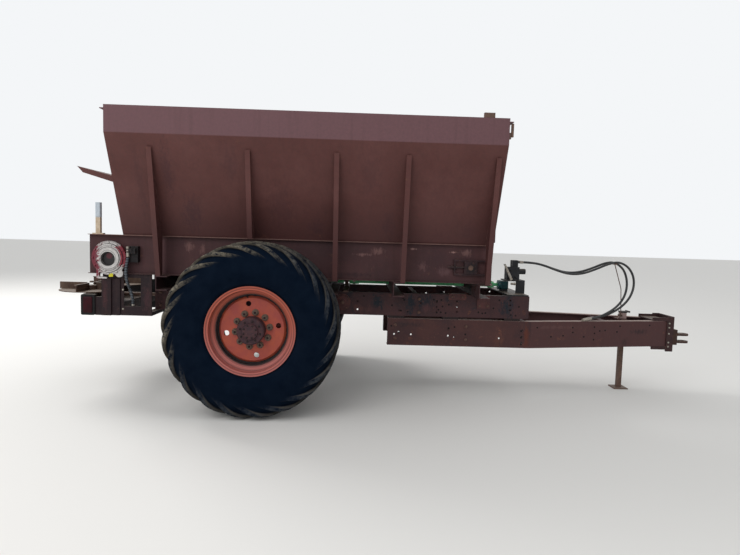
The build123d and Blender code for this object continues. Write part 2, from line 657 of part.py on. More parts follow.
# Conveyor drive: planetary gearcase on the outside of the right sill, round the rear shaft
CASE_R = 178.0
CASE_BORE_R = 74.0
CASE_BORE_FLOOR = 66.0
CASE_BORE_LOW = 8.0   # the bore's axis under the shaft's, as the end ring is set eccentric
FOOT_OUT = 50.0       # the foot and the knuckle, out from the sill web
FOOT_DEPTH = 30.0
FOOT_AHEAD = -116.0   # their middles, ahead of the shaft
FOOT_LENGTH = 30.0
FOOT_LOW = 1252.0
FOOT_BASE_LENGTH = 108.0
FOOT_BASE_T = 16.0
KNUCKLE_AHEAD = 106.0
KNUCKLE_DOWN = 160.0
KNUCKLE_R = 40.0
with BuildPart() as conveyor_drive:
    case_plane = Plane(origin=(DRIVE_X, -SILL_WEB_Y, SHAFT_Z), x_dir=(1, 0, 0), z_dir=(0, -1, 0))
    for radius, low, depth in (
        (CASE_R - 30.0, 0.0, 46.0),
        (CASE_R, 46.0, 34.0),
        (CASE_R - 30.0, 80.0, 14.0),
    ):
        with BuildSketch(case_plane.offset(low)):
            Circle(radius)
        extrude(amount=depth)
    with BuildSketch(case_plane):
        Circle(CONVEYOR_SHAFT_R + RUN)
    extrude(amount=60.0, mode=Mode.SUBTRACT)
    with BuildSketch(case_plane.offset(94.0)):
        with Locations((0, -CASE_BORE_LOW)):
            Circle(CASE_R - 62.0)
    extrude(amount=12.0)
    with BuildSketch(case_plane.offset(CASE_BORE_FLOOR)):
        with Locations((0, -CASE_BORE_LOW)):
            Circle(CASE_BORE_R)
    extrude(amount=60.0, mode=Mode.SUBTRACT)
    with BuildSketch(case_plane.offset(FOOT_OUT)):
        with BuildLine():
            Polyline(
                (FOOT_AHEAD - FOOT_LENGTH / 2, -CASE_R / 2),
                (FOOT_AHEAD - FOOT_LENGTH / 2, FOOT_LOW - SHAFT_Z),
                (FOOT_AHEAD - FOOT_LENGTH / 2 + FOOT_BASE_LENGTH, FOOT_LOW - SHAFT_Z),
                (FOOT_AHEAD - FOOT_LENGTH / 2 + FOOT_BASE_LENGTH, FOOT_LOW - SHAFT_Z + FOOT_BASE_T),
                (FOOT_AHEAD + FOOT_LENGTH / 2, FOOT_LOW - SHAFT_Z + FOOT_BASE_T),
                (FOOT_AHEAD + FOOT_LENGTH / 2, -CASE_R / 2),
                close=True,
            )
        make_face()
        with Locations((KNUCKLE_AHEAD, -KNUCKLE_DOWN)):
            Circle(KNUCKLE_R)
        with Locations((KNUCKLE_AHEAD - 6.0, -KNUCKLE_DOWN + KNUCKLE_R)):
            Rectangle(2 * KNUCKLE_R - 12.0, 2 * KNUCKLE_R)
    extrude(amount=FOOT_DEPTH)
    with BuildSketch(case_plane.offset(80.0)):
        with PolarLocations(CASE_R - 13.0, 12):
            Circle(9.0)
    extrude(amount=10.0)

# Motor on the sill ahead of the gearcase, with its elbow
MOTOR_LENGTH = 92.0
MOTOR_HEIGHT = 170.0
MOTOR_OUT = 60.0
ELBOW_R = 15.0
ELBOW_DROP = 44.0
ELBOW_OUT = 84.0      # hose axis out from the sill web
motor_x = DRIVE_X + CASE_R + SEAT + MOTOR_LENGTH / 2 + 24.0
motor_z = SHAFT_Z + 44.0
elbow_x = DRIVE_X + CASE_R + ELBOW_R + 7.0
with BuildPart() as drive_motor:
    with Locations((motor_x, -SILL_WEB_Y - MOTOR_OUT / 2, motor_z)):
        Box(MOTOR_LENGTH, MOTOR_OUT, MOTOR_HEIGHT)
    with Locations((motor_x, -SILL_WEB_Y - MOTOR_OUT - 16.0, motor_z + 36.0)):
        Box(MOTOR_LENGTH - 30.0, 32.0, 56.0)
    with Locations(((motor_x + elbow_x) / 2 - 8.0, -SILL_WEB_Y - ELBOW_OUT, motor_z + 46.0)):
        Box(motor_x - elbow_x + 12.0, 30.0, 30.0)
    with BuildSketch(Plane.XY.offset(motor_z + 60.0)):
        with Locations((elbow_x, -SILL_WEB_Y - ELBOW_OUT)):
            Circle(ELBOW_R)
    extrude(amount=-ELBOW_DROP)

# Spinner frame: side panels hung from the sills, beams across and the deck of the gearboxes
PANEL_Y = 742.0       # inner face of a side panel
PANEL_T = 12.0
PANEL_REAR = -1700.0
PANEL_FRONT = -1185.0
PANEL_LOW = 858.0
WINDOW_REAR = -1480.0
WINDOW_FRONT = -1301.0
WINDOW_LOW = 958.0
WINDOW_HIGH = 1262.0
COLUMN_WIDTH = 98.0
COLUMN_DEPTH = 33.0
STEP_WIDTH = 86.0     # shallower strip ahead of the column
STEP_DEPTH = 14.0
COLUMN_TOP = 1250.0
LAMP_X = -1846.0
LAMP_Z = 967.0
LAMP_LENGTH = 145.0
LAMP_HEIGHT = 220.0
LAMP_T = 55.0
BEAM = 80.0
DECK_T = 20.0
DECK_HALF = 500.0
DECK_REACH = 70.0     # deck behind the spinner axis
spin_box_top = SPINNER_Z - SPINNER_T - SPINNER_GAP
deck_top = PANEL_LOW + BEAM + DECK_T
with BuildPart() as side_panel:
    with BuildSketch(Plane.XZ.offset(PANEL_Y)):
        with Locations(((PANEL_REAR + PANEL_FRONT) / 2, (PANEL_LOW + SILL_BOTTOM) / 2)):
            Rectangle(PANEL_FRONT - PANEL_REAR, SILL_BOTTOM - PANEL_LOW)
    extrude(amount=PANEL_T)
    for start, width, depth in (
        (PANEL_REAR, COLUMN_WIDTH, COLUMN_DEPTH),
        (PANEL_REAR + COLUMN_WIDTH, STEP_WIDTH, STEP_DEPTH),
    ):
        with BuildSketch(Plane.XZ.offset(PANEL_Y + PANEL_T)):
            with Locations((start + width / 2, (PANEL_LOW + COLUMN_TOP) / 2)):
                Rectangle(width, COLUMN_TOP - PANEL_LOW)
        extrude(amount=depth)
    with Locations((LAMP_X + LAMP_LENGTH / 2 + 37.0, -PANEL_Y - 14.0, LAMP_Z - 12.0)):
        Box(74.0, 28.0, LAMP_HEIGHT - 24.0)
    with Locations(((WINDOW_REAR + WINDOW_FRONT) / 2, -PANEL_Y + 40.0, PANEL_LOW + 6.0)):
        Box(WINDOW_FRONT - WINDOW_REAR, 80.0, 12.0)
other_panel = mirrored(side_panel)
with BuildPart() as spinner_frame:
    add(side_panel.part)
    with BuildSketch(Plane.XZ.offset(PANEL_Y - 1.0)):
        with Locations(((WINDOW_REAR + WINDOW_FRONT) / 2, (WINDOW_LOW + WINDOW_HIGH) / 2)):
            Rectangle(WINDOW_FRONT - WINDOW_REAR, WINDOW_HIGH - WINDOW_LOW)
    extrude(amount=PANEL_T + 2.0, mode=Mode.SUBTRACT)
    add(other_panel.part)
    for x, height in ((PANEL_REAR + BEAM / 2, BEAM), (PANEL_FRONT - BEAM / 2, RAIL_BOTTOM - PANEL_LOW)):
        with Locations((x, 0, PANEL_LOW + height / 2)):
            Box(BEAM, 2 * PANEL_Y, height)
    with Locations(((SPINNER_X - DECK_REACH + PANEL_REAR + BEAM) / 2, 0, deck_top - DECK_T / 2)):
        Box(PANEL_REAR + BEAM - SPINNER_X + DECK_REACH, 2 * DECK_HALF, DECK_T)
    for side in (-1, 1):
        with Locations(
            ((SPINNER_X - DECK_REACH + PANEL_REAR) / 2, side * (DECK_HALF - 20.0), PANEL_LOW + BEAM / 2)
        ):
            Box(PANEL_REAR - SPINNER_X + DECK_REACH, 40.0, BEAM)

# Spinner gearboxes with upright output bores and the shaft tube between them
LOWER_SHAFT_Z = 1006.0
LOWER_SHAFT_R = 20.0
CROSS_TUBE_R = 28.0
BOX_LENGTH = 130.0
BOX_WIDTH = 150.0
COLLAR_R = 56.0
COLLAR_HEIGHT = 30.0
BORE_DEPTH = 90.0
with BuildPart() as spinner_gearboxes:
    for side in (-1, 1):
        with BuildSketch(Plane.XY.offset(deck_top)):
            with Locations((SPINNER_X, side * SPINNER_Y)):
                RectangleRounded(BOX_LENGTH, BOX_WIDTH, 18.0)
        extrude(amount=spin_box_top - COLLAR_HEIGHT - deck_top)
        with BuildSketch(Plane.XY.offset(spin_box_top - COLLAR_HEIGHT)):
            with Locations((SPINNER_X, side * SPINNER_Y)):
                Circle(COLLAR_R)
        extrude(amount=COLLAR_HEIGHT)
        with BuildSketch(Plane.XY.offset(spin_box_top - BORE_DEPTH)):
            with Locations((SPINNER_X, side * SPINNER_Y)):
                Circle(SPINNER_SHAFT_R + RUN)
        extrude(amount=BORE_DEPTH, mode=Mode.SUBTRACT)
    with BuildSketch(Plane.XZ.offset(-SPINNER_Y + BOX_WIDTH / 2)):
        with Locations((SPINNER_X, LOWER_SHAFT_Z)):
            Circle(CROSS_TUBE_R)
    extrude(amount=2 * (SPINNER_Y - BOX_WIDTH / 2))

# Spinner discs: flat disc, hub and four vanes, shaft down into the gearbox
vane_start = SPINNER_HUB_R - VANE_IN_HUB
vane_end = SPINNER_R + VANE_OVER
with BuildPart() as spinner_disc_right:
    with BuildSketch(Plane.XY.offset(SPINNER_Z - SPINNER_T)):
        with Locations((SPINNER_X, -SPINNER_Y)):
            Circle(SPINNER_R)
    extrude(amount=SPINNER_T)
    with BuildSketch(Plane.XY.offset(SPINNER_Z)):
        with Locations((SPINNER_X, -SPINNER_Y)):
            Circle(SPINNER_HUB_R)
    extrude(amount=46.0)
    with BuildSketch(Plane.XY.offset(spin_box_top - BORE_DEPTH + 10.0)):
        with Locations((SPINNER_X, -SPINNER_Y)):
            Circle(SPINNER_SHAFT_R)
    extrude(amount=BORE_DEPTH - 10.0 + SPINNER_GAP + SPINNER_T)
    for width, low, depth in (
        (VANE_T, 0.0, VANE_HEIGHT),
        (VANE_LIP, VANE_HEIGHT - VANE_T, VANE_T),
    ):
        with BuildSketch(Plane.XY.offset(SPINNER_Z + low)):
            with Locations((SPINNER_X, -SPINNER_Y)):
                with PolarLocations(0, VANE_COUNT):
                    with Locations(((vane_start + vane_end) / 2, VANE_T / 2 - width / 2)):
                        Rectangle(vane_end - vane_start, width)
        extrude(amount=depth)
spinner_disc_left = mirrored(spinner_disc_right)

# Tail lamps behind the side panels of the spinner frame
with BuildPart() as tail_lamps:
    for side in (-1, 1):
        with BuildSketch(Plane.XZ.offset(-side * (PANEL_Y - 12.0))):
            with Locations((LAMP_X, LAMP_Z)):
                RectangleRounded(LAMP_LENGTH, LAMP_HEIGHT, 16.0)
        extrude(amount=-side * LAMP_T)

# Feed gate: plate sliding in the guides at the rear, on the screw of its jack
gate_x = HOPPER_REAR - GATE_CLEAR - GATE_T
jack_screw_x = gate_x - 34.0
gate_top = gate_low + GATE_HEIGHT
with BuildPart() as feed_gate:
    with Locations((gate_x + GATE_T / 2, 0, gate_low + GATE_HEIGHT / 2)):
        Box(GATE_T, 2 * GATE_HALF, GATE_HEIGHT)
    for up in (60.0, GATE_HEIGHT - 60.0):
        with Locations((gate_x - 20.0, 0, gate_low + up)):
            Box(40.0, 2 * GATE_HALF - 120.0, 10.0)
    with BuildSketch(Plane.XY.offset(gate_low + 60.0)):
        with Locations((jack_screw_x, 0)):
            Circle(JACK_SCREW_R)
    extrude(amount=gate_top + GATE_TRAVEL - gate_low - 60.0)

# Gate jack: tube on the rear wall round the screw, with a crank
TUBE_LEAD = 48.0      # tube foot under the gate's top edge when the gate is up
ARM_CLEAR = 20.0
ARM_T = 12.0
CRANK_DROP = 160.0    # crank axis under the hopper's top
CRANK_THROW = 120.0
jack_low = gate_top + GATE_TRAVEL - TUBE_LEAD
tube_top = HOPPER_TOP - CRANK_DROP + 40.0
crank_x = jack_screw_x - JACK_TUBE_R - 71.0
with BuildPart() as gate_jack:
    with BuildSketch(Plane.XY.offset(jack_low)):
        with Locations((jack_screw_x, 0)):
            Circle(JACK_TUBE_R)
    extrude(amount=tube_top - jack_low)
    for arm_z in (gate_top + GATE_TRAVEL + ARM_CLEAR + ARM_T / 2, tube_top - 100.0):
        with Locations(((HOPPER_REAR + jack_screw_x) / 2, 0, arm_z)):
            Box(HOPPER_REAR - jack_screw_x, 120.0, ARM_T)
    with BuildSketch(Plane.XY.offset(jack_low)):
        with Locations((jack_screw_x, 0)):
            Circle(JACK_SCREW_R + RUN)
    extrude(amount=TUBE_LEAD + GATE_TRAVEL + 60.0, mode=Mode.SUBTRACT)
    with BuildSketch(Plane.YZ.offset(jack_screw_x - JACK_TUBE_R + 8.0)):
        with Locations((0, HOPPER_TOP - CRANK_DROP)):
            Circle(12.0)
    extrude(amount=-78.0)
    with Locations((crank_x + 7.0, CRANK_THROW / 2, HOPPER_TOP - CRANK_DROP)):
        Box(14.0, CRANK_THROW + 30.0, 26.0)
    with BuildSketch(Plane.YZ.offset(crank_x)):
        with Locations((CRANK_THROW, HOPPER_TOP - CRANK_DROP)):
            Circle(14.0)
    extrude(amount=-100.0)

# Rear hood: tray above the gate, tilted up to the rear
HOOD_HALF = 745.0
HOOD_LENGTH = 475.0
HOOD_RISE = 118.0
HOOD_Z = 2296.0
HOOD_T = 5.0
with BuildPart() as rear_hood:
    tail_x = HOPPER_REAR - HOOD_LENGTH
    with BuildSketch(Plane.XZ.offset(-HOOD_HALF)):
        with BuildLine():
            Polyline(
                (HOPPER_REAR, HOOD_Z), (tail_x, HOOD_Z + HOOD_RISE),
                (tail_x, HOOD_Z + HOOD_RISE + HOOD_T), (HOPPER_REAR, HOOD_Z + HOOD_T), close=True,
            )
        make_face()
    extrude(amount=2 * HOOD_HALF)
    for side in (-1, 1):
        with BuildSketch(Plane.XZ.offset(-side * HOOD_HALF)):
            with BuildLine():
                Polyline(
                    (HOPPER_REAR, HOOD_Z + HOOD_T), (tail_x, HOOD_Z + HOOD_RISE + HOOD_T),
                    (tail_x + 60.0, HOOD_Z + HOOD_RISE - 60.0), (HOPPER_REAR, HOOD_Z - 62.0), close=True,
                )
            make_face()
        extrude(amount=HOOD_T if side < 0 else -HOOD_T)
    with Locations((HOPPER_REAR - 52.0, 0, HOOD_Z + 30.0)):
        Box(104.0, 150.0, 100.0, mode=Mode.SUBTRACT)

# Driveline: tube between stub shafts with a yoke at each joint
BEARING_X = 872.0     # pillow block
with BuildPart() as driveline_shaft:
    for start, end, radius in (
        (DRIVE_LINE_REAR, BEARING_X - 32.0, TUBE_R),
        (BEARING_X - 32.0, BEARING_X + 33.0, STUB_R),
        (BEARING_X + 33.0, BEARING_X + 148.0, TUBE_R + 9.0),
        (BEARING_X + 148.0, DRIVE_LINE_FRONT - 120.0, TUBE_R),
        (DRIVE_LINE_FRONT - 120.0, DRIVE_LINE_FRONT - 50.0, TUBE_R + 9.0),
        (DRIVE_LINE_FRONT - 50.0, DRIVE_LINE_FRONT, STUB_R),
    ):
        with BuildSketch(Plane.YZ.offset(start)):
            with Locations((0, DRIVE_LINE_Z)):
                Circle(radius)
        extrude(amount=end - start)

# Shaft bearings: pillow block and its stand on a cross plate over the rails
with BuildPart() as shaft_bearings:
    with Locations((BEARING_X, 0, RAIL_TOP + 6.0)):
        Box(60.0, 2 * RAIL_Y, 12.0)
    with BuildSketch(Plane.YZ.offset(BEARING_X - 20.0)):
        with Locations((0, (RAIL_TOP + 12.0 + DRIVE_LINE_Z) / 2)):
            Rectangle(120.0, DRIVE_LINE_Z - RAIL_TOP - 12.0)
        with Locations((0, DRIVE_LINE_Z)):
            Circle(46.0)
            Circle(STUB_R + RUN, mode=Mode.SUBTRACT)
    extrude(amount=40.0)

# Drop case on the rear cross member: takes the drive down to the spinner gearboxes
CASE_T = 104.0
DROP_CASE_R = 85.0
with BuildPart() as transfer_case:
    with BuildSketch(Plane.YZ.offset(RAIL_REAR)):
        with Locations((0, (DRIVE_LINE_Z + LOWER_SHAFT_Z) / 2)):
            SlotCenterToCenter(DRIVE_LINE_Z - LOWER_SHAFT_Z, 2 * DROP_CASE_R, rotation=90)
    extrude(amount=-CASE_T)
    with BuildSketch(Plane.YZ.offset(SPINNER_X + CROSS_TUBE_R + SEAT)):
        with Locations((0, LOWER_SHAFT_Z)):
            Circle(LOWER_SHAFT_R)
    extrude(amount=RAIL_REAR - CASE_T - SPINNER_X - CROSS_TUBE_R - SEAT)

# Pump, bracket and valve block on the front cross member
PUMP_GAP = 4.0
PUMP_PLATE_Y = -250.0
SHELF_Z = 1314.0      # top of the bracket's shelf
SHELF_T = 14.0
VALVE_X = 2830.0
VALVE_Y = -150.0
VALVE_HEIGHT = 150.0
HOSE_DIAMETER = 22.0
HOSE_AXIS_Z = 1523.0  # hose axes where they leave the manifold
HOSE_START_X = 2905.0
with BuildPart() as pump:
    with BuildSketch(Plane.YZ.offset(DRIVE_LINE_FRONT + PUMP_GAP)):
        with Locations((0, DRIVE_LINE_Z)):
            Circle(56.0)
            with GridLocations(120.0, 0, 2, 1):
                Circle(18.0)
            Rectangle(120.0, 36.0)
    extrude(amount=28.0)
    with BuildSketch(Plane.YZ.offset(DRIVE_LINE_FRONT + PUMP_GAP + 28.0)):
        with Locations((0, DRIVE_LINE_Z)):
            RectangleRounded(110.0, 100.0, 22.0)
    extrude(amount=88.0)

with BuildPart() as pump_bracket:
    with Locations((2906.0, PUMP_PLATE_Y, (RAIL_TOP + SHELF_Z) / 2)):
        Box(104.0, 12.0, SHELF_Z - RAIL_TOP)
    with Locations((2820.0, 0, RAIL_TOP + SHELF_T / 2)):
        Box(236.0, 2 * RAIL_Y - 20.0, SHELF_T)
    with Locations((2776.0, 0, (RAIL_TOP + SHELF_T + DRIVE_LINE_Z - 50.0) / 2)):
        Box(80.0, 100.0, DRIVE_LINE_Z - 50.0 - RAIL_TOP - SHELF_T)
    with Locations((2842.0, VALVE_Y, SHELF_Z - SHELF_T / 2)):
        Box(232.0, 212.0, SHELF_T)
    with BuildSketch(Plane.XZ.offset(-PUMP_PLATE_Y + 6.0)):
        with BuildLine():
            Polyline((2700.0, 1500.0), (2724.0, 1500.0), (2816.0, 1320.0), (2792.0, 1300.0), close=True)
        make_face()
    extrude(amount=-12.0)

with BuildPart() as valve_block:
    with Locations((VALVE_X, VALVE_Y, SHELF_Z + VALVE_HEIGHT / 2)):
        Box(150.0, 110.0, VALVE_HEIGHT)
    with Locations((VALVE_X + 95.0, VALVE_Y, SHELF_Z + 98.0)):
        Cylinder(33.0, 120.0, rotation=(0, 90, 0))
    with Locations((VALVE_X + 22.0, VALVE_Y, SHELF_Z + VALVE_HEIGHT + 40.0)):
        Box(66.0, 100.0, 80.0)
    for y in (-135.0, -185.0):
        with BuildSketch(Plane.YZ.offset(VALVE_X + 55.0)):
            with Locations((y, HOSE_AXIS_Z)):
                Circle(14.0)
        extrude(amount=HOSE_START_X - VALVE_X - 55.0)


def hose(name, route, diameter):
    """Hose along straight runs joined by the widest arcs that its runs allow."""
    points = [Vector(*place) for place in route]
    runs = [(b - a) for a, b in zip(points, points[1:])]
    radii = []
    for before, after in zip(runs, runs[1:]):
        turn = math.radians(before.get_angle(after))
        radii.append(0.45 * min(before.length, after.length) / math.tan(turn / 2))
    with BuildPart() as tube:
        with BuildLine() as path:
            FilletPolyline(*points, radius=radii)
        with BuildSketch(Plane(origin=points[0], z_dir=runs[0])):
            Circle(diameter / 2)
        sweep()
    length = path.wire().length
    print(f"{name}: length {length:.0f} mm, volume over section x length "
          f"{tube.part.volume / (math.pi * diameter ** 2 / 4 * length):.4f}, radii",
          [round(radius) for radius in radii])
    return tube


# Hoses: out of the manifold, over the holder and back to the couplers on the tongue
HOSE_ROUTES = {
    "hose_lower": [
        (2905, -135, 1523), (3050, -135, 1523), (3190, -138, 1500), (3330, -142, 1452),
        (3480, -146, 1412), (3640, -144, 1422), (3800, -138, 1478), (3940, -130, 1540),
        (4062, -122, 1556), (4172, -120, 1486), (4226, -122, 1368), (4226, -140, 1236),
        (4172, -176, 1116), (4072, -220, 1020), (3945, -268, 954), (3812, -316, 908),
        (3690, -350, 892),
    ],
    "hose_upper": [
        (2905, -185, 1523), (3055, -185, 1523), (3200, -182, 1494), (3350, -180, 1440),
        (3500, -176, 1398), (3660, -172, 1404), (3820, -168, 1462), (3960, -164, 1526),
        (4090, -160, 1562), (4210, -160, 1512), (4286, -162, 1400), (4296, -170, 1262),
        (4244, -186, 1130), (4134, -212, 1022), (3996, -246, 950), (3858, -278, 906),
        (3730, -304, 892),
    ],
}
hoses = {name: hose(name, route, HOSE_DIAMETER) for name, route in HOSE_ROUTES.items()}

# Motor hose: down from the elbow, in through the window of the side panel to a fitting on its ledge
MOTOR_HOSE_DIAMETER = 24.0
MOTOR_HOSE_ROUTE = [
    (elbow_x, -SILL_WEB_Y - ELBOW_OUT, motor_z + 60.0 - ELBOW_DROP),
    (elbow_x, -SILL_WEB_Y - ELBOW_OUT, 1470),
    (-1422, -822, 1408), (-1432, -818, 1344), (-1436, -802, 1280), (-1434, -780, 1220),
    (-1426, -752, 1162), (-1414, -728, 1104), (-1404, -712, 1044), (-1400, -708, 984), (-1400, -708, 930),
]
rear_hose = hose("rear_hose", MOTOR_HOSE_ROUTE, MOTOR_HOSE_DIAMETER)

# Couplers at the hoses' ends and the fitting under the motor hose
COUPLER_R = 14.0
COUPLER_LENGTH = 80.0
with BuildPart() as hose_couplings:
    for route in HOSE_ROUTES.values():
        end, before = Vector(*route[-1]), Vector(*route[-2])
        with BuildSketch(Plane(origin=end, z_dir=end - before)):
            Circle(COUPLER_R)
        extrude(amount=COUPLER_LENGTH)
    foot = Vector(*MOTOR_HOSE_ROUTE[-1])
    with BuildSketch(Plane.XY.offset(PANEL_LOW + 12.0)):
        with Locations((foot.X, foot.Y)):
            Circle(MOTOR_HOSE_DIAMETER / 2 + 5.0)
    extrude(amount=foot.Z - PANEL_LOW - 12.0)

# Hose holder: thin rod from the jack's sleeve to a cradle under the hoses' arch
HOLDER_R = 5.0
HOLDER_LINE = [(4214.0, -56.0, 905.0), (4176.0, -96.0, 1235.0), (4062.0, -141.0, 1527.0)]
CRADLE_TOP = 1529.5
CRADLE_STEP = 9.0     # the outer hose arches higher

# Jack under the tongue: fixed leg with a foot, sleeve between the tongue channels
with BuildPart() as jack_tube:
    jack_half = tongue_inner_half(JACK_X + 60.0)
    with BuildSketch(Plane.XY.offset(TONGUE_BOTTOM - 40.0)):
        with Locations((JACK_X, 0)):
            Rectangle(2 * JACK_SLEEVE_HALF, 2 * JACK_SLEEVE_HALF)
            Rectangle(2 * JACK_LEG_HALF, 2 * JACK_LEG_HALF, mode=Mode.SUBTRACT)
    extrude(amount=TONGUE_TOP + 70.0 - TONGUE_BOTTOM + 40.0)
    for low in (TONGUE_BOTTOM + tongue_flange_t, TONGUE_TOP - tongue_flange_t - 14.0):
        for side in (-1, 1):
            with Locations((JACK_X, side * (jack_half + JACK_SLEEVE_HALF) / 2, low + 7.0)):
                Box(70.0, jack_half - JACK_SLEEVE_HALF, 14.0)

with BuildPart() as jack_leg:
    with BuildSketch(Plane.XY.offset(JACK_FOOT_T)):
        with Locations((JACK_X, 0)):
            Rectangle(2 * JACK_LEG_HALF, 2 * JACK_LEG_HALF)
    extrude(amount=TONGUE_TOP - JACK_FOOT_T)
    with Locations((JACK_X, 0, JACK_FOOT_T / 2)):
        Box(2 * JACK_FOOT_HALF, 2 * JACK_FOOT_HALF, JACK_FOOT_T)

with BuildPart() as jack_crank:
    with Locations((JACK_X, 0, TONGUE_TOP + 70.0 + 9.0)):
        Box(76.0, 76.0, 18.0)
    with BuildSketch(Plane.YZ.offset(JACK_X + 38.0)):
        with Locations((0, TONGUE_TOP + 79.0)):
            Circle(9.0)
    extrude(amount=50.0)
    with Locations((JACK_X + 80.0, 40.0, TONGUE_TOP + 79.0)):
        Box(12.0, 110.0, 20.0)

with BuildPart() as hose_holder:
    rod_foot = Vector(*HOLDER_LINE[0])
    with BuildLine():
        FilletPolyline(*HOLDER_LINE, radius=120.0)
    with BuildSketch(Plane(origin=rod_foot, z_dir=Vector(*HOLDER_LINE[1]) - rod_foot)):
        Circle(HOLDER_R)
    sweep()
    with Locations((rod_foot.X, rod_foot.Y / 2 - JACK_SLEEVE_HALF / 4, rod_foot.Z)):
        Box(2 * (JACK_X - JACK_SLEEVE_HALF - rod_foot.X), -rod_foot.Y + 10.0, 20.0)
    with Locations((HOLDER_LINE[-1][0], HOLDER_LINE[-1][1], CRADLE_TOP - 3.0)):
        Box(28.0, 68.0, 6.0)
    with Locations((HOLDER_LINE[-1][0], HOLDER_LINE[-1][1] - 21.0, CRADLE_TOP + CRADLE_STEP / 2)):
        Box(28.0, 26.0, CRADLE_STEP)

# Marker post on the rear of the right sill, and the small fittings on the top edge
with BuildPart() as marker_post:
    with Locations((-1745.0, -SILL_WEB_Y - 10.0, SILL_TOP + 6.0)):
        Box(110.0, 60.0, 12.0)
    with Locations((-1745.0, -SILL_WEB_Y - 10.0, SILL_TOP + 12.0 + 85.0)):
        Box(48.0, 40.0, 170.0)
    with BuildSketch(Plane.XY.offset(SILL_TOP + 182.0)):
        with Locations((-1745.0, -SILL_WEB_Y - 10.0)):
            RectangleRounded(54.0, 50.0, 12.0)
    extrude(amount=150.0)

with BuildPart() as top_fittings:
    with Locations((2245.0, -HOPPER_HALF + 22.0, HOPPER_TOP + 24.0)):
        Box(104.0, 40.0, 48.0)
    with Locations((HOPPER_FRONT + 10.0, -HOPPER_HALF + 30.0, HOPPER_TOP - 166.0)):
        Box(20.0, 36.0, 60.0)
    with BuildSketch(Plane.XY.offset(HOPPER_TOP - 176.0)):
        with Locations((HOPPER_FRONT + 34.0, -HOPPER_HALF + 30.0)):
            Circle(14.0)
    extrude(amount=130.0)

# Rim: stepped barrel with flanges, and the pressed disc welded in it
rim_half_profile = [
    # across from the centre plane, radius
    (RIM_HALF, RIM_R),
    (RIM_HALF - 14.0, RIM_R),
    (RIM_HALF - 14.0, BEAD_R),
    (RIM_HALF - 70.0, BEAD_R),
    (RIM_HALF - 84.0, BEAD_R - 10.0),
    (RIM_HALF - 110.0, WELL_R),
]


def right_side(points):
    """Points across and out from the wheel centre, set on the right-hand wheel."""
    return [(-TRACK_HALF - across, radius) for across, radius in points]


with BuildPart() as rim_right:
    barrel = rim_half_profile + [(-a, r) for a, r in reversed(rim_half_profile)]
    with BuildSketch(WHEEL_PLANE):
        with BuildLine():
            Polyline(*right_side(barrel))
            offset(amount=RIM_WALL, side=Side.RIGHT, kind=Kind.INTERSECTION)
        make_face()
    revolve(axis=HUB_AXIS)
    disc_across = DISC_FACE_Y - TRACK_HALF
    with BuildSketch(WHEEL_PLANE):
        with BuildLine():
            Polyline(
                *right_side([
                    (disc_across, HUB_R + SEAT), (disc_across, DISC_R - 24.0),
                    (disc_across - 22.0, DISC_R), (disc_across - 22.0, WELL_R - RIM_WALL / 2),
                    (disc_across - 22.0 - DISC_T, WELL_R - RIM_WALL / 2),
                    (disc_across - 22.0 - DISC_T, DISC_R - 8.0),
                    (disc_across - DISC_T, DISC_R - 30.0), (disc_across - DISC_T, HUB_R + SEAT),
                ]),
                close=True,
            )
        make_face()
    revolve(axis=HUB_AXIS)
    disc_plane = Plane(origin=(0, -DISC_FACE_Y, HUB_Z), x_dir=(1, 0, 0), z_dir=(0, -1, 0))
    with BuildSketch(disc_plane):
        with PolarLocations(HAND_HOLE_CIRCLE_R, HAND_HOLE_COUNT, start_angle=9.5):
            Circle(HAND_HOLE_R)
        with PolarLocations(STUD_CIRCLE_R, STUD_COUNT, start_angle=9.0):
            Circle(STUD_R + SEAT)
    extrude(amount=-DISC_T - 1, mode=Mode.SUBTRACT)
rim_left = mirrored(rim_right)

# Hub: drum with the stud flange behind the disc, end cap and studs
with BuildPart() as hub_right:
    with BuildSketch(WHEEL_PLANE):
        with BuildLine():
            Polyline(
                *right_side([
                    (disc_across - HUB_BACK, SPINDLE_R + RUN), (disc_across - HUB_BACK, HUB_R - 30.0),
                    (disc_across - DISC_T - HUB_FLANGE_T - 20.0, HUB_R - 20.0),
                    (disc_across - DISC_T - HUB_FLANGE_T, HUB_FLANGE_R),
                    (disc_across - DISC_T, HUB_FLANGE_R), (disc_across - DISC_T, HUB_R),
                    (disc_across + HUB_OUT - 10.0, HUB_R), (disc_across + HUB_OUT, HUB_R - 10.0),
                    (disc_across + HUB_OUT, CAP_R), (disc_across + HUB_OUT + CAP_OUT, CAP_R - 6.0),
                    (disc_across + HUB_OUT + CAP_OUT, 0.0), (disc_across + 1.0, 0.0),
                    (disc_across + 1.0, SPINDLE_R + RUN),
                ]),
                close=True,
            )
        make_face()
    revolve(axis=HUB_AXIS)
    with BuildSketch(disc_plane.offset(-DISC_T)):
        with PolarLocations(STUD_CIRCLE_R, STUD_COUNT, start_angle=9.0):
            Circle(STUD_R)
    extrude(amount=DISC_T + STUD_OUT)
    with BuildSketch(disc_plane.offset(SEAT)):
        with PolarLocations(STUD_CIRCLE_R, STUD_COUNT, start_angle=9.0):
            RegularPolygon(20.0, 6)
    extrude(amount=24.0)
hub_left = mirrored(hub_right)

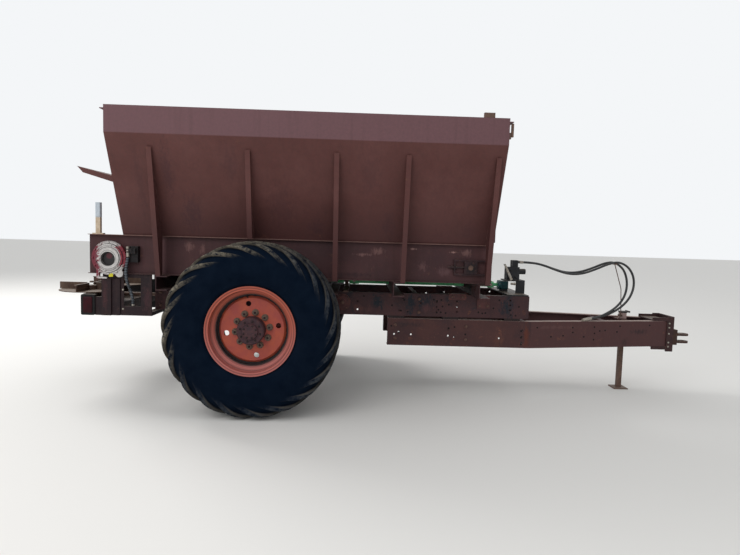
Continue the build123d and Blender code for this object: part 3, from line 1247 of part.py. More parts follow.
# Tyre: hollow carcass on the rim, with long bars swept from the crown to the shoulder; the carcass is
# one flat-faced sector repeated round the hub, as many times as there are bars on a side
carcass_r = LUG_R - LUG_HEIGHT
bead_across = RIM_HALF - 14.0 - SEAT
sector_slope = math.tan(math.pi / LUG_COUNT)
tyre_outside = [
    # across from the centre plane, radius
    (bead_across, BEAD_R + SEAT),
    (bead_across, RIM_R + 4.0),
    (TYRE_HALF - 4.0, RIM_R + 90.0),
    (TYRE_HALF - 3.0, carcass_r - 110.0),
    (TYRE_HALF - 50.0, carcass_r - 12.0),
]
tyre_inside = [
    (TYRE_HALF - 60.0, carcass_r - TYRE_WALL - 26.0),
    (TYRE_HALF - 4.0 - TYRE_WALL, RIM_R + 120.0),
    (bead_across - TYRE_WALL, BEAD_R + SEAT),
]
with BuildPart() as carcass_sector:
    with BuildSketch(WHEEL_PLANE):
        with BuildLine():
            Polyline(
                *right_side(tyre_outside + [(-a, r) for a, r in reversed(tyre_outside)]),
                *right_side([(-a, r) for a, r in reversed(tyre_inside)] + tyre_inside),
                close=True,
            )
        make_face()
    extrude(amount=LUG_R * sector_slope, both=True)
    with BuildSketch(Plane(origin=(0, -TRACK_HALF, HUB_Z), x_dir=(1, 0, 0), z_dir=(0, -1, 0))):
        with BuildLine():
            Polyline((0, 0), (-LUG_R * sector_slope, LUG_R), (LUG_R * sector_slope, LUG_R), close=True)
        make_face()
    extrude(amount=TYRE_HALF, both=True, mode=Mode.INTERSECT)

LUG_START = -14.0     # crown end of a lug, across from the centre plane
LUG_END = TYRE_HALF - 2.0
LUG_ROOT_HALF = 38.0  # half width at the root and at the top
LUG_TOP_HALF = 24.0
SECTOR_SHIFT = 0.25   # turn of the sectors from the bars, in pitches
lug_around = math.radians(LUG_SWEEP) * LUG_R
lug_length = math.hypot(LUG_END - LUG_START, lug_around)
lug_side = [
    # share of the lug's length from its middle, height above the wheel's axis
    (-0.5, carcass_r - 45.0),
    (-0.5, LUG_R - 25.0),
    (0.12, LUG_R - 1.0),
    (0.5, LUG_R - 72.0),
    (0.5, carcass_r - 108.0),
    (0.2, carcass_r - 30.0),
]


def lug(hand):
    """One straight tread bar, from the crown towards the outboard (1) or inboard (-1) shoulder."""
    middle = math.radians(90.0 - LUG_SWEEP / 2)
    radial = Vector(math.cos(middle), 0, math.sin(middle))
    along = Vector(math.sin(middle), 0, -math.cos(middle)) * lug_around
    along = (along + Vector(0, -hand, 0) * (LUG_END - LUG_START)).normalized()
    sideways = along.cross(radial)
    centre = Vector(0, -TRACK_HALF - hand * (LUG_START + LUG_END) / 2, HUB_Z)
    with BuildPart() as bar:
        with BuildSketch(Plane(origin=centre - along * lug_length / 2, x_dir=sideways * -1, z_dir=along)):
            with BuildLine():
                Polyline(
                    (-LUG_ROOT_HALF, carcass_r - 120.0), (LUG_ROOT_HALF, carcass_r - 120.0),
                    (LUG_TOP_HALF, LUG_R + 5.0), (-LUG_TOP_HALF, LUG_R + 5.0), close=True,
                )
            make_face()
        extrude(amount=lug_length)
        with BuildSketch(Plane(origin=centre, x_dir=along, z_dir=sideways)):
            with BuildLine():
                Polyline(*[(share * lug_length, up) for share, up in lug_side], close=True)
            make_face()
        extrude(amount=LUG_ROOT_HALF + 1.0, both=True, mode=Mode.INTERSECT)
    return bar


outboard_lug = lug(1)
inboard_lug = lug(-1)
pitch = 360.0 / LUG_COUNT
around_tyre = [
    piece.part.rotate(HUB_AXIS, pitch * (k + shift))
    for piece, shift in ((carcass_sector, SECTOR_SHIFT), (outboard_lug, 0.0), (inboard_lug, 0.5))
    for k in range(LUG_COUNT)
]
with BuildPart() as tyre_right:
    add(around_tyre)
tyre_left = mirrored(tyre_right)

PIECES = {
    "frame_rail_right": frame_rail_right, "frame_rail_left": frame_rail_left,
    "frame_crossmembers": frame_crossmembers,
    "tongue_rail_right": tongue_rail_right, "tongue_rail_left": tongue_rail_left,
    "tongue_crossmembers": tongue_crossmembers,
    "hitch_head": hitch_head, "hitch_clevis": hitch_clevis,
    "axle_beam": axle_beam, "axle_mounts": axle_mounts,
    "hopper_side_right": hopper_side_right, "hopper_side_left": hopper_side_left,
    "hopper_front": hopper_front, "hopper_rear": hopper_rear,
    "sill_right": sill_right, "sill_left": sill_left,
    "side_ribs_right": side_ribs_right, "side_ribs_left": side_ribs_left,
    "cross_sills": cross_sills,
    "conveyor_floor": conveyor_floor, "conveyor_chain": conveyor_chain,
    "conveyor_rollers": conveyor_rollers, "take_ups": take_ups,
    "conveyor_drive": conveyor_drive, "drive_motor": drive_motor,
    "spinner_frame": spinner_frame, "spinner_gearboxes": spinner_gearboxes,
    "spinner_disc_right": spinner_disc_right, "spinner_disc_left": spinner_disc_left,
    "tail_lamps": tail_lamps, "feed_gate": feed_gate, "gate_jack": gate_jack,
    "rear_hood": rear_hood, "driveline_shaft": driveline_shaft,
    "shaft_bearings": shaft_bearings, "transfer_case": transfer_case,
    "pump": pump, "pump_bracket": pump_bracket, "valve_block": valve_block,
    "jack_tube": jack_tube, "jack_leg": jack_leg, "jack_crank": jack_crank,
    "rail_brackets": rail_brackets, "hose_holder": hose_holder,
    "hose_lower": hoses["hose_lower"], "hose_upper": hoses["hose_upper"],
    "rear_hose": rear_hose, "hose_couplings": hose_couplings,
    "marker_post": marker_post, "top_fittings": top_fittings,
    "rim_right": rim_right, "rim_left": rim_left,
    "hub_right": hub_right, "hub_left": hub_left,
    "tyre_right": tyre_right, "tyre_left": tyre_left,
}
for name, piece in PIECES.items():
    piece.part.label = name
    export_step(piece.part, f"parts/{name}.step")
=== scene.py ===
import functools
import math

import bpy
import numpy as np
from mathutils import Matrix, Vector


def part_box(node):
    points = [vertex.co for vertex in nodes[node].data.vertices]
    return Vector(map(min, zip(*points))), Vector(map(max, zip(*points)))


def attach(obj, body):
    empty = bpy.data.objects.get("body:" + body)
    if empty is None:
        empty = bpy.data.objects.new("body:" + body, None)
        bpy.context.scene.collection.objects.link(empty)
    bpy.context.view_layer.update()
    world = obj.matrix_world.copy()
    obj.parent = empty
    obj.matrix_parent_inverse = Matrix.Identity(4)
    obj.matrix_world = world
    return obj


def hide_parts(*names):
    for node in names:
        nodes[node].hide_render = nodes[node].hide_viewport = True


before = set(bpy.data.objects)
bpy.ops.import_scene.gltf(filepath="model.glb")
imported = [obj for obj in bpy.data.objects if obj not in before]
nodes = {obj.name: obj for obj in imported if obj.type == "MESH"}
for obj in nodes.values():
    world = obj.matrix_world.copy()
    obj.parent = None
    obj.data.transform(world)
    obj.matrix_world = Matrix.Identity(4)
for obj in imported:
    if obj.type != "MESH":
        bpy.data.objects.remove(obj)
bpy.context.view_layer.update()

# Viewpoint: a hand-held picture from the machine's right, 6.7 m off and at about the height of the
# sills, leaning a little to the left.
CAMERA_PLACE = (0.988, -6.694, 1.796)
FOCAL_LENGTH_PX = 556.0
IMAGE_WIDTH_PX = 740.0
SENSOR_MM = 36.0
YAW, PITCH, ROLL = (math.radians(a) for a in (1.4, 4.42, 1.72))


def in_scene(name, data):
    """A new object with this data, linked into the scene."""
    made = bpy.data.objects.new(name, data)
    bpy.context.scene.collection.objects.link(made)
    return made


def set_pose(thing, place, right, up, back):
    """Turns an object until its own X, Y and Z lie along the three directions, and puts it at the place."""
    pose = np.eye(4)
    pose[:3, :3] = np.stack([right, up, back], axis=1)
    pose[:3, 3] = place
    thing.matrix_world = Matrix(pose.tolist())


look = np.array([math.sin(YAW) * math.cos(PITCH), math.cos(YAW) * math.cos(PITCH), -math.sin(PITCH)])
level = np.array([math.cos(YAW), -math.sin(YAW), 0.0])
upright = np.cross(level, look)
camera_data = bpy.data.cameras.new("camera")
camera_data.sensor_width = SENSOR_MM
camera_data.lens = SENSOR_MM * FOCAL_LENGTH_PX / IMAGE_WIDTH_PX
camera_data.clip_end = 200.0
camera = in_scene("camera", camera_data)
set_pose(camera, CAMERA_PLACE, math.cos(ROLL) * level + math.sin(ROLL) * upright,
         math.cos(ROLL) * upright - math.sin(ROLL) * level, -look)
bpy.context.scene.camera = camera


# Studio: a pale floor and a pale sky with two large soft lamps. The sky seen straight, in gloss or
# through glass is a plain white, while what falls on the machine is weaker.
def to_linear(code):
    """sRGB hex to linear RGBA: each channel over 12.92 near black, else ((c + 0.055) / 1.055) ** 2.4."""
    c = np.array([int(code[i:i + 2], 16) / 255 for i in (1, 3, 5)])
    return (*np.where(c <= 0.04045, c / 12.92, ((c + 0.055) / 1.055) ** 2.4), 1.0)


def add_node(tree, kind, inputs=None, **settings):
    """One node with its settings. An input given as a node is linked from that node's result, and one given
    as an output socket from it. A hex colour is turned to linear, and any other value is set."""
    made = tree.nodes.new("ShaderNode" + kind)
    for key, value in settings.items():
        setattr(made, key, value)
    for key, value in (inputs or {}).items():
        if isinstance(value, bpy.types.Node):
            value = next(socket for socket in value.outputs if socket.enabled)
        if isinstance(value, bpy.types.NodeSocket):
            tree.links.new(value, made.inputs[key])
        else:
            made.inputs[key].default_value = to_linear(value) if isinstance(value, str) else value
    return made


bpy.context.scene.view_settings.view_transform = "Standard"
SKY_ON_OBJECT = 0.78
SKY_SEEN = 1.0
sky = bpy.data.worlds.new("sky")
bpy.context.scene.world = sky
sky.use_nodes = True
sky.node_tree.nodes.clear()
add = functools.partial(add_node, sky.node_tree)
ray = add("LightPath").outputs
seen = add("Math", {0: ray["Is Camera Ray"], 1: ray["Is Glossy Ray"]}, operation="MAXIMUM")
seen = add("Math", {0: seen, 1: ray["Is Transmission Ray"]}, operation="MAXIMUM")
strength = add("MapRange", {"Value": seen, "To Min": SKY_ON_OBJECT, "To Max": SKY_SEEN})
glow = add("Background", {"Color": "#f4f6f8", "Strength": strength})
add("OutputWorld", {"Surface": glow})

FLOOR_HALF = 60.0
floor_mesh = bpy.data.meshes.new("floor")
floor_mesh.from_pydata([(x * FLOOR_HALF, y * FLOOR_HALF, 0) for x, y in ((-1, -1), (1, -1), (1, 1), (-1, 1))],
                       [], [(0, 1, 2, 3)])
floor_paint = bpy.data.materials.new("floor_paint")
floor_paint.use_nodes = True
floor_shader = floor_paint.node_tree.nodes["Principled BSDF"]
floor_shader.inputs["Base Color"].default_value = to_linear("#e6e4e0")
floor_shader.inputs["Roughness"].default_value = 0.9
floor_mesh.materials.append(floor_paint)
in_scene("floor", floor_mesh)

SOFT_LAMPS = (
    # name, place (m), aimed at (m), side (m), watts
    ("key_lamp", (-8.5, 5.5, 10.0), (0.4, 0.0, 1.2), 5.0, 900.0),
    ("fill_lamp", (-3.5, -8.0, 7.0), (0.6, 0.0, 1.2), 6.0, 260.0),
)
for lamp_name, lamp_place, aim, side, watts in SOFT_LAMPS:
    lamp_data = bpy.data.lights.new(lamp_name, "AREA")
    lamp_data.energy = watts
    lamp_data.size = side
    back = np.array(lamp_place) - np.array(aim)
    back /= np.linalg.norm(back)
    across = np.cross((0, 0, 1), back)
    across /= np.linalg.norm(across)
    set_pose(in_scene(lamp_name, lamp_data), lamp_place, across, np.cross(back, across), back)


# Hydraulic hoses: two 26 mm rubber hoses with a smooth black cover, crimped into steel ferrules. They
# leave the manifold, arch over the holder rod and hang back to couplers on the near tongue channel.
def net(rows, sides, closed=False):
    """Quads between each ring of points and the next: (i, j), (i, j+1), (i+1, j+1), (i+1, j). The rings
    close on themselves, and closed joins the last ring to the first."""
    i = np.arange(rows if closed else rows - 1)[:, None]
    j = np.arange(sides)[None, :]
    k = (j + 1) % sides
    after = (i + 1) % rows * sides
    return np.stack([i * sides + j, i * sides + k, after + k, after + j], axis=-1).reshape(-1, 4)


def stacked(outline, profile):
    """Outline scaled about local +Z: point (i, j) is outline_j times the size s_i, at the height z_i."""
    outline, profile = np.asarray(outline, float), np.asarray(profile, float)
    flat = profile[:, None, :1] * outline[None, :, :]
    high = np.broadcast_to(profile[:, None, 1:], flat.shape[:2] + (1,))
    return np.concatenate([flat, high], axis=-1).reshape(-1, 3), net(len(profile), len(outline))


def turned(profile, sides):
    """Turned part round local +Z: a circle of `sides` points stacked with the radii and heights given."""
    angle = np.arange(sides) * 2 * math.pi / sides
    return stacked(np.stack([np.cos(angle), np.sin(angle)], axis=1), profile)


def laid(shape, places, axis, turn=0.0):
    """Copies of a shape with its local +Z along axis, at each of the places in mm: one matrix product."""
    points, faces = shape
    z = np.array(axis, float) / np.linalg.norm(axis)
    x = np.cross((0, 1, 0) if abs(z[1]) < 0.9 else (1, 0, 0), z)
    x /= np.linalg.norm(x)
    y = np.cross(z, x)
    c, s = math.cos(turn), math.sin(turn)
    places = np.atleast_2d(np.array(places, float))
    aligned = points @ np.array([c * x + s * y, c * y - s * x, z])
    every = (places[:, None, :] + aligned[None, :, :]).reshape(-1, 3)
    shift = (np.arange(len(places)) * len(points))[:, None, None]
    return every, (faces[None, :, :] + shift).reshape(-1, faces.shape[1])


def build(name, shapes, material, body="chassis", sharp=40.0, values=None):
    """One riding piece from shapes of (points in mm, faces). Points that coincide, as at a pole, are merged.
    values holds an array for each named attribute, in the order of the points."""
    points, faces, kept, start, count = [], [], [], 0, 0
    for p, f in shapes:
        _, first, same = np.unique(np.round(p, 4), axis=0, return_index=True, return_inverse=True)
        f = same.ravel()[np.asarray(f)]
        whole = np.all(f != np.roll(f, 1, axis=1), axis=1)
        faces += (f[whole] + start).tolist()
        faces += [list(dict.fromkeys(face)) for face in (f[~whole] + start).tolist()]
        points.append(np.asarray(p, float)[first])
        kept.append(first + count)
        start += len(first)
        count += len(p)
    faces = [face for face in faces if len(face) > 2]
    kept = np.concatenate(kept)
    mesh = bpy.data.meshes.new(name)
    mesh.from_pydata((np.concatenate(points) / 1000.0).tolist(), [], faces)
    for label, data in (values or {}).items():
        layer = mesh.attributes.new(label, "FLOAT", "POINT")
        layer.data.foreach_set("value", np.asarray(data, np.float32).ravel()[kept])
    mesh.validate()
    mesh.materials.append(material)
    mesh.shade_smooth()
    mesh.set_sharp_from_angle(angle=math.radians(sharp))
    piece = in_scene(name, mesh)
    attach(piece, body)
    return piece


def new_material(name):
    """An empty node material: the material, add_node for its tree and the piece's own coordinates in m."""
    material = bpy.data.materials.new(name)
    material.use_nodes = True
    material.node_tree.nodes.clear()
    add = functools.partial(add_node, material.node_tree)
    return material, add, add("TexCoord").outputs["Object"]


def coated(add, skin, code, value, low, high, most=1.0):
    """A colour over the skin. Its share grows from 0 where the value is low to `most` where it is high.
    Gives the new skin and the share."""
    share = add("MapRange", {"Value": value, "From Min": low, "From Max": high, "To Max": most})
    return add("Mix", {0: share, 6: skin, 7: code}, data_type="RGBA"), share


def flecked(add, place, skin, code, size, low, high, most=1.0, **grain):
    """A coat in flecks about `size` mm across, from noise whose other inputs are set by grain. Gives the
    new skin, the share and the noise."""
    noise = add("TexNoise", {"Vector": place, "Scale": 1000 / size, "Detail": 5.0, **grain})
    return (*coated(add, skin, code, noise, low, high, most), noise)


def finish(add, inputs, relief=None, strength=0.0, depth=0.001):
    """The surface itself, from these inputs of the shader. The relief, where there is one, is a height of
    up to `depth` metres that tilts the normal."""
    if relief is not None:
        inputs["Normal"] = add("Bump", {"Height": relief, "Strength": strength, "Distance": depth})
    add("OutputMaterial", {"Surface": add("BsdfPrincipled", inputs)})


# Hose cover: extruded nitrile rubber, matt black gone slightly grey, with dust in broad clouds
hose_rubber, add, place = new_material("nitrile_hose_rubber")
skin, _, dust = flecked(add, place, "#16181b", "#33322f", 60, 0.45, 0.7)
matt = add("MapRange", {"Value": dust, "To Min": 0.3, "To Max": 0.55})
grit = add("TexNoise", {"Vector": place, "Scale": 1000 / 3, "Detail": 3.0})
finish(add, {"Base Color": skin, "Roughness": matt}, grit, strength=0.15)

# Fittings: turned steel with zinc plating, dull grey with brown freckles where the plating has gone
plated_steel, add, place = new_material("zinc_plated_steel")
skin, rusted, freckle = flecked(add, place, "#a29c92", "#6e5240", 14, 0.5, 0.66, Detail=8.0, Roughness=0.7)
shine = add("MapRange", {"Value": rusted, "To Min": 0.75, "To Max": 0.1})
rough = add("MapRange", {"Value": freckle, "To Min": 0.3, "To Max": 0.7})
finish(add, {"Base Color": skin, "Metallic": shine, "Roughness": rough})


def hose_curve(name, route, diameter):
    """Smooth line of a hose with the route's points (mm) as its control points."""
    curve = bpy.data.curves.new("smooth_" + name, "CURVE")
    curve.dimensions = "3D"
    line = curve.splines.new("NURBS")
    line.points.add(len(route) - 1)
    line.points.foreach_set("co", np.column_stack([np.array(route) / 1000.0, np.ones(len(route))]).ravel())
    line.order_u = 3
    line.use_endpoint_u = True
    line.resolution_u = 16
    curve.bevel_depth = diameter / 2000.0
    curve.bevel_resolution = 6
    curve.use_fill_caps = True
    curve.materials.append(hose_rubber)
    hose = in_scene("smooth_" + name, curve)
    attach(hose, "chassis")
    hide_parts(name)
    return hose


FERRULE = [(0, -2), (13.4, -2), (15.8, 0), (15.8, 9), (15.1, 10.5), (15.8, 12), (15.8, 21), (15.1, 22.5),
           (15.8, 24), (15.8, 38), (14.6, 42), (13.3, 44), (0, 44)]
COUPLER = [(0, -4), (15.4, -4), (15.4, 16), (16.8, 18), (16.8, 44), (15.2, 46), (15.2, 58), (14.6, 60),
           (14.6, 80.5), (12.5, 82), (8.0, 82), (8.0, 74), (0, 74)]
HOSES = (
    # name, coupler's piece name, length (m), route (mm)
    ("hose_lower", "coupler_lower", 2.27, [
        (2905, -135, 1523), (3050, -135, 1523), (3190, -138, 1500), (3330, -142, 1452), (3480, -146, 1412),
        (3640, -144, 1422), (3800, -138, 1478), (3940, -130, 1540), (4062, -122, 1556), (4172, -120, 1486),
        (4226, -122, 1368), (4226, -140, 1236), (4172, -176, 1116), (4072, -220, 1020), (3945, -268, 954),
        (3812, -316, 908), (3690, -350, 892)]),
    ("hose_upper", "coupler_upper", 2.345, [
        (2905, -185, 1523), (3055, -185, 1523), (3200, -182, 1494), (3350, -180, 1440), (3500, -176, 1398),
        (3660, -172, 1404), (3820, -168, 1462), (3960, -164, 1526), (4090, -160, 1562), (4210, -160, 1512),
        (4286, -162, 1400), (4296, -170, 1262), (4244, -186, 1130), (4134, -212, 1022), (3996, -246, 950),
        (3858, -278, 906), (3730, -304, 892)]),
)
HOSE_DIAMETER = 26.0
for hose_name, coupler_name, length, route in HOSES:
    hose = hose_curve(hose_name, route, HOSE_DIAMETER)
    ends = np.array(route, float)
    away = ends[-1] - ends[-2]
    coupler = build(coupler_name, [laid(turned(COUPLER, 24), ends[-1], away),
                                   laid(turned(FERRULE, 24), ends[-1], -away)], plated_steel)
    collar = build(hose_name + "_ferrule", [laid(turned(FERRULE, 24), ends[0], ends[1] - ends[0])],
                   plated_steel)

# Motor hose: 24 mm hose in a moulded spiral guard, from the motor's elbow down through the window of
# the side panel to a fitting on its ledge. Both ends are held.
MOTOR_HOSE_DIAMETER = 24.0
MOTOR_HOSE_ROUTE = [
    (-1412, -814, 1530), (-1412, -814, 1470), (-1422, -822, 1408), (-1432, -818, 1344), (-1436, -802, 1280),
    (-1434, -780, 1220), (-1426, -752, 1162), (-1414, -728, 1104), (-1404, -712, 1044), (-1400, -708, 984),
    (-1400, -708, 930)]
GUARD_PITCH = 17.0
BANDS_SCALE = 1000 * math.pi / 10    # scale of a wave texture whose bands are 1 mm apart
motor_hose = hose_curve("rear_hose", MOTOR_HOSE_ROUTE, MOTOR_HOSE_DIAMETER)
motor_ends = np.array(MOTOR_HOSE_ROUTE, float)


def ribbed(hose, clear, radius, rib, pitch, sides=18):
    """Ribbed tube along a hose, clear mm short of its ends: ring i lies square to the line read from the
    hose's own spline, with radius + rib cos(2 pi s_i / pitch), and its frame is carried on without twist."""
    bare = hose.data.copy()
    bare.bevel_depth = 0.0
    line = bpy.data.objects.new("line", bare)
    mesh = bpy.data.meshes.new_from_object(line)
    places = np.array([v.co[:] for v in mesh.vertices]) * 1000.0
    bpy.data.objects.remove(line)
    bpy.data.meshes.remove(mesh)
    bpy.data.curves.remove(bare)
    reach = np.concatenate([[0], np.cumsum(np.linalg.norm(np.diff(places, axis=0), axis=1))])
    s = np.arange(clear, reach[-1] - clear, pitch / 6)
    path = np.stack([np.interp(s, reach, places[:, k]) for k in range(3)], axis=1)
    along = np.gradient(path, axis=0)
    along /= np.linalg.norm(along, axis=1, keepdims=True)
    aside = np.empty_like(along)
    aside[0] = np.cross(along[0], (0.0, 1.0, 0.0))
    for i in range(1, len(s)):
        aside[i] = aside[i - 1] - np.dot(aside[i - 1], along[i]) * along[i]
        aside[i] /= np.linalg.norm(aside[i])
    angle = (np.arange(sides) * 2 * math.pi / sides)[None, :, None]
    ring = np.cos(angle) * aside[:, None] + np.sin(angle) * np.cross(along, aside)[:, None]
    size = (radius + rib * np.cos(2 * math.pi * (s - clear) / pitch))[:, None, None]
    rings = np.concatenate([np.repeat(path[:1, None], sides, 1), path[:, None] + size * ring,
                            np.repeat(path[-1:, None], sides, 1)])
    return rings.reshape(-1, 3), net(len(rings), sides)


# Guard: moulded black plastic; the crests of its ribs are painted grey, a painted highlight where light glints
# on them
guard_plastic, add, place = new_material("spiral_guard_plastic_painted_glints")
# The wave bands paint the rib crests grey as painted highlights.
rings = add("TexWave", {"Vector": place, "Scale": BANDS_SCALE / GUARD_PITCH, "Distortion": 0.6},
            bands_direction="Z")
skin, _ = coated(add, "#0c0d10", "#6a737d", rings, 0.6, 0.95)
rough = add("MapRange", {"Value": rings, "To Min": 0.7, "To Max": 0.4})
finish(add, {"Base Color": skin, "Roughness": rough})
motor_guard = build("rear_hose_guard", [ribbed(motor_hose, 46.0, 14.4, 2.6, GUARD_PITCH)], guard_plastic,
                    sharp=70.0)
wide_ferrule = turned(np.array(FERRULE) * (1.1, 1.0), 24)
motor_collar = build("rear_hose_ferrule", [laid(wide_ferrule, motor_ends[0], (0, 0, -1)),
                                           laid(wide_ferrule, motor_ends[-1], (0, 0, 1))],
                     plated_steel)


# Main frame: two rolled steel channels with channels across, welded, and brackets bolted to their webs.
# Dark maroon enamel brushed over mill scale, chalked by the sun, rusty where it was scraped.
def enamel(name, paint, faded, patch_mm=320.0, rust=0.5, bare="#6b4331", scars=None, streaks=0.0,
           zones=(), stains=(), dust=0.35, matt=0.62):
    """Old enamel: paint and its faded tone in clouds of patch_mm, runs down the sheet, rust freckles of
    6 to 12 mm and rusty patches, dark scars, dust on what faces up. zones are (axis, from, to, colour) and
    stains ragged ovals (x, z, half length, half height, colour, share) in m, on the right-hand side."""
    material, add, place = new_material(name)
    skin = flecked(add, place, paint, faded, patch_mm, 0.38, 0.64, Detail=7.0, Roughness=0.62)[0]
    parts = add("SeparateXYZ", {0: place}).outputs
    for axis, start, stop, code in zones:
        skin, _ = coated(add, skin, code, parts[axis], start, stop, 0.85)
    fine = add("TexNoise", {"Vector": place, "Scale": 1000 / 28, "Detail": 8.0, "Roughness": 0.7})
    tone = add("MapRange", {"Value": fine, "From Min": 0.25, "From Max": 0.75, "To Min": 0.84, "To Max": 1.14})
    skin = add("Mix", {0: 1.0, 6: skin, 7: tone}, data_type="RGBA", blend_type="MULTIPLY")
    if streaks:
        drawn = add("Mapping", {"Vector": place, "Scale": (22.0, 22.0, 1.3)})
        skin = flecked(add, drawn, skin, "#3b2624", 1000, 0.5, 0.72, streaks)[0]
    if stains:
        strokes = add("Mapping", {"Vector": place, "Scale": (1.0, 1.0, 0.4)})
        ragged = add("TexNoise", {"Vector": strokes, "Scale": 1000 / 30, "Detail": 10.0, "Roughness": 0.78})
        right = add("Math", {0: parts[1], 1: 0.0}, operation="LESS_THAN")
    for x, z, half_x, half_z, code, most in stains:
        oval = add("Mapping", {"Vector": place, "Location": (-x / half_x, 0.0, -z / half_z),
                               "Scale": (1 / half_x, 0.0, 1 / half_z)})
        far = add("VectorMath", {0: oval}, operation="LENGTH")
        frayed = add("Math", {0: ragged, 1: 4.6, 2: far}, operation="MULTIPLY_ADD")
        inside = add("MapRange", {"Value": frayed, "From Min": 3.3, "From Max": 2.5, "To Max": most})
        inside = add("Math", {0: inside, 1: right}, operation="MULTIPLY")
        skin = add("Mix", {0: inside, 6: skin, 7: code}, data_type="RGBA")
    if scars:
        skin = flecked(add, place, skin, scars, 260, 0.56, 0.66, 0.8,
                       Detail=9.0, Roughness=0.66, Distortion=0.6)[0]
    patch = add("TexNoise", {"Vector": place, "Scale": 2500 / patch_mm, "Detail": 12.0, "Roughness": 0.74})
    patches = add("MapRange", {"Value": patch, "From Min": 0.66 - 0.12 * rust, "From Max": 0.74 - 0.1 * rust})
    spot = add("TexNoise", {"Vector": place, "Scale": 1000 / 11, "Detail": 3.0})
    spots = add("MapRange", {"Value": spot, "From Min": 0.72 - 0.1 * rust, "From Max": 0.78 - 0.1 * rust,
                             "To Max": 0.8})
    rusty = add("Math", {0: patches, 1: spots}, operation="MAXIMUM")
    skin = add("Mix", {0: rusty, 6: skin, 7: bare}, data_type="RGBA")
    if dust:
        facing = add("SeparateXYZ", {0: add("NewGeometry").outputs["Normal"]})
        skin, _ = coated(add, skin, "#8f8172", facing.outputs[2], 0.35, 0.95, dust)
    gloss = add("MapRange", {"Value": fine, "From Min": 0.3, "From Max": 0.7, "To Min": matt - 0.12,
                             "To Max": matt + 0.14})
    relief = add("Math", {0: fine, 1: rusty}, operation="SUBTRACT")
    finish(add, {"Base Color": skin, "Roughness": gloss, "Specular IOR Level": 0.28}, relief,
           strength=0.35, depth=0.0012)
    return material


def dress(material, *names):
    """The CAD nodes of these names get the material in each of their slots."""
    for name in names:
        for slot in nodes[name].material_slots:
            slot.material = material


RAIL_STAINS = (
    # x, z, half length, half height, colour, share: soot of an old fire and of welding on the right rail
    (1.235, 1.06, 0.085, 0.11, "#141a23", 1.0), (1.60, 1.03, 0.06, 0.16, "#151c26", 1.0),
    (1.76, 1.06, 0.11, 0.12, "#131923", 1.0), (2.70, 1.02, 0.09, 0.16, "#141b25", 1.0),
    (0.84, 1.035, 0.12, 0.12, "#221a1f", 0.9), (1.78, 0.99, 0.05, 0.06, "#4c2d2e", 0.9),
    (2.06, 0.99, 0.22, 0.05, "#4a2c2c", 0.5), (1.05, 0.96, 0.14, 0.05, "#5a3733", 0.5),
)
TONGUE_STAINS = (
    # rust at the bend and on the web, and dark grease near the nose and under the packing
    (2.93, 0.72, 0.04, 0.19, "#5c2c1e", 0.75), (2.62, 0.66, 0.06, 0.10, "#5e3a30", 0.6),
    (4.36, 0.74, 0.14, 0.035, "#2a1c20", 0.7), (4.18, 0.62, 0.05, 0.06, "#30201f", 0.6),
    (1.55, 0.80, 0.20, 0.03, "#2b1f22", 0.6), (3.3, 0.80, 0.30, 0.025, "#5f4240", 0.4),
)
frame_enamel = enamel("dark_maroon_frame_enamel", "#42282a", "#342124", rust=0.7, bare="#5c362a",
                      scars="#1c1e26", streaks=0.35, stains=RAIL_STAINS, dust=0.12)
# Its zones are painted light: past the bend the web is a lighter tone where it turns towards the sun, and the
# top flange is painted pale as a painted highlight.
tongue_enamel = enamel("maroon_tongue_enamel", "#4a2d2b", "#3a2527", rust=0.55, bare="#6d4234", streaks=0.2,
                       zones=((0, 2.975, 2.985, "#4b2f2f"), (2, 0.8655, 0.8668, "#b39b95")),
                       stains=TONGUE_STAINS)
# The top of each packing piece is painted near-black: painted shadow in the gap between the rail and the tongue.
packing_enamel = enamel("packing_enamel_painted_gap_shadow", "#4a302e", "#3c2829", streaks=0.35,
                        zones=((2, 0.8665, 0.8675, "#120c0d"),), dust=0.0)
bracket_enamel = enamel("reddish_bracket_enamel", "#573331", "#45292a", patch_mm=90.0, rust=0.8,
                        bare="#683c30", scars="#241d22", streaks=0.35)
head_enamel = enamel("chipped_hitch_head_enamel", "#3a2425", "#2b1b1c", patch_mm=110.0, rust=0.8,
                     bare="#5a3a30", streaks=0.2)
dress(frame_enamel, "frame_rail_right", "frame_rail_left", "frame_crossmembers", "cross_sills")
dress(bracket_enamel, "rail_brackets")
dress(tongue_enamel, "tongue_rail_right", "tongue_rail_left")
dress(head_enamel, "hitch_head")
dress(packing_enamel, "tongue_crossmembers")

# Bolts: forged hexagon heads on round washers, painted over with the frame and rusting at the edges
bolt_enamel = enamel("painted_bolt_heads", "#4a3432", "#5b4238", patch_mm=30.0, rust=0.9, bare="#70503c",
                     dust=0.2)


def hex_bolts(places, axis, across=30.0, head=12.0, washer=2.5, turn=0.3):
    """Bolt heads on washers at the places: a six-sided and a round turned shape, laid along the axis."""
    r = across / math.sqrt(3.0)
    top = [(0, washer), (r, washer), (r, washer + head - 2.5), (r - 3.5, washer + head), (0, washer + head)]
    rim = [(0, -0.3), (across * 0.62, -0.3), (across * 0.62, washer - 0.6), (across * 0.58, washer),
           (0, washer)]
    return [laid(turned(top, 6), places, axis, turn), laid(turned(rim, 18), places, axis)]


def bolt_circle(radius, angles, x, y, z):
    """Places on a circle about an axle along Y: (x + r cos a, y, z + r sin a)."""
    return np.stack([x + radius * np.cos(angles), np.full(len(angles), float(y)),
                     z + radius * np.sin(angles)], axis=1)


RAIL_FACE = 500.0
FRAME_BOLTS = (
    # x and z of the rows, height over the web, across flats, head in mm: hangers, splices, bracket, pivot
    ((-1180, -590, 610, 1700), (940, 1090), 0, 30.0, 12.0),
    ((2070, 2190), (1127,), 10, 24.0, 9.0),
    ((2380, 2470), (1030, 1115), 10, 24.0, 9.0),
    ((840,), (1035,), 40, 36.0, 16.0),
)
TONGUE_BOLTS = (((1442, 2242), (640, 790), 0, 30.0, 12.0),)


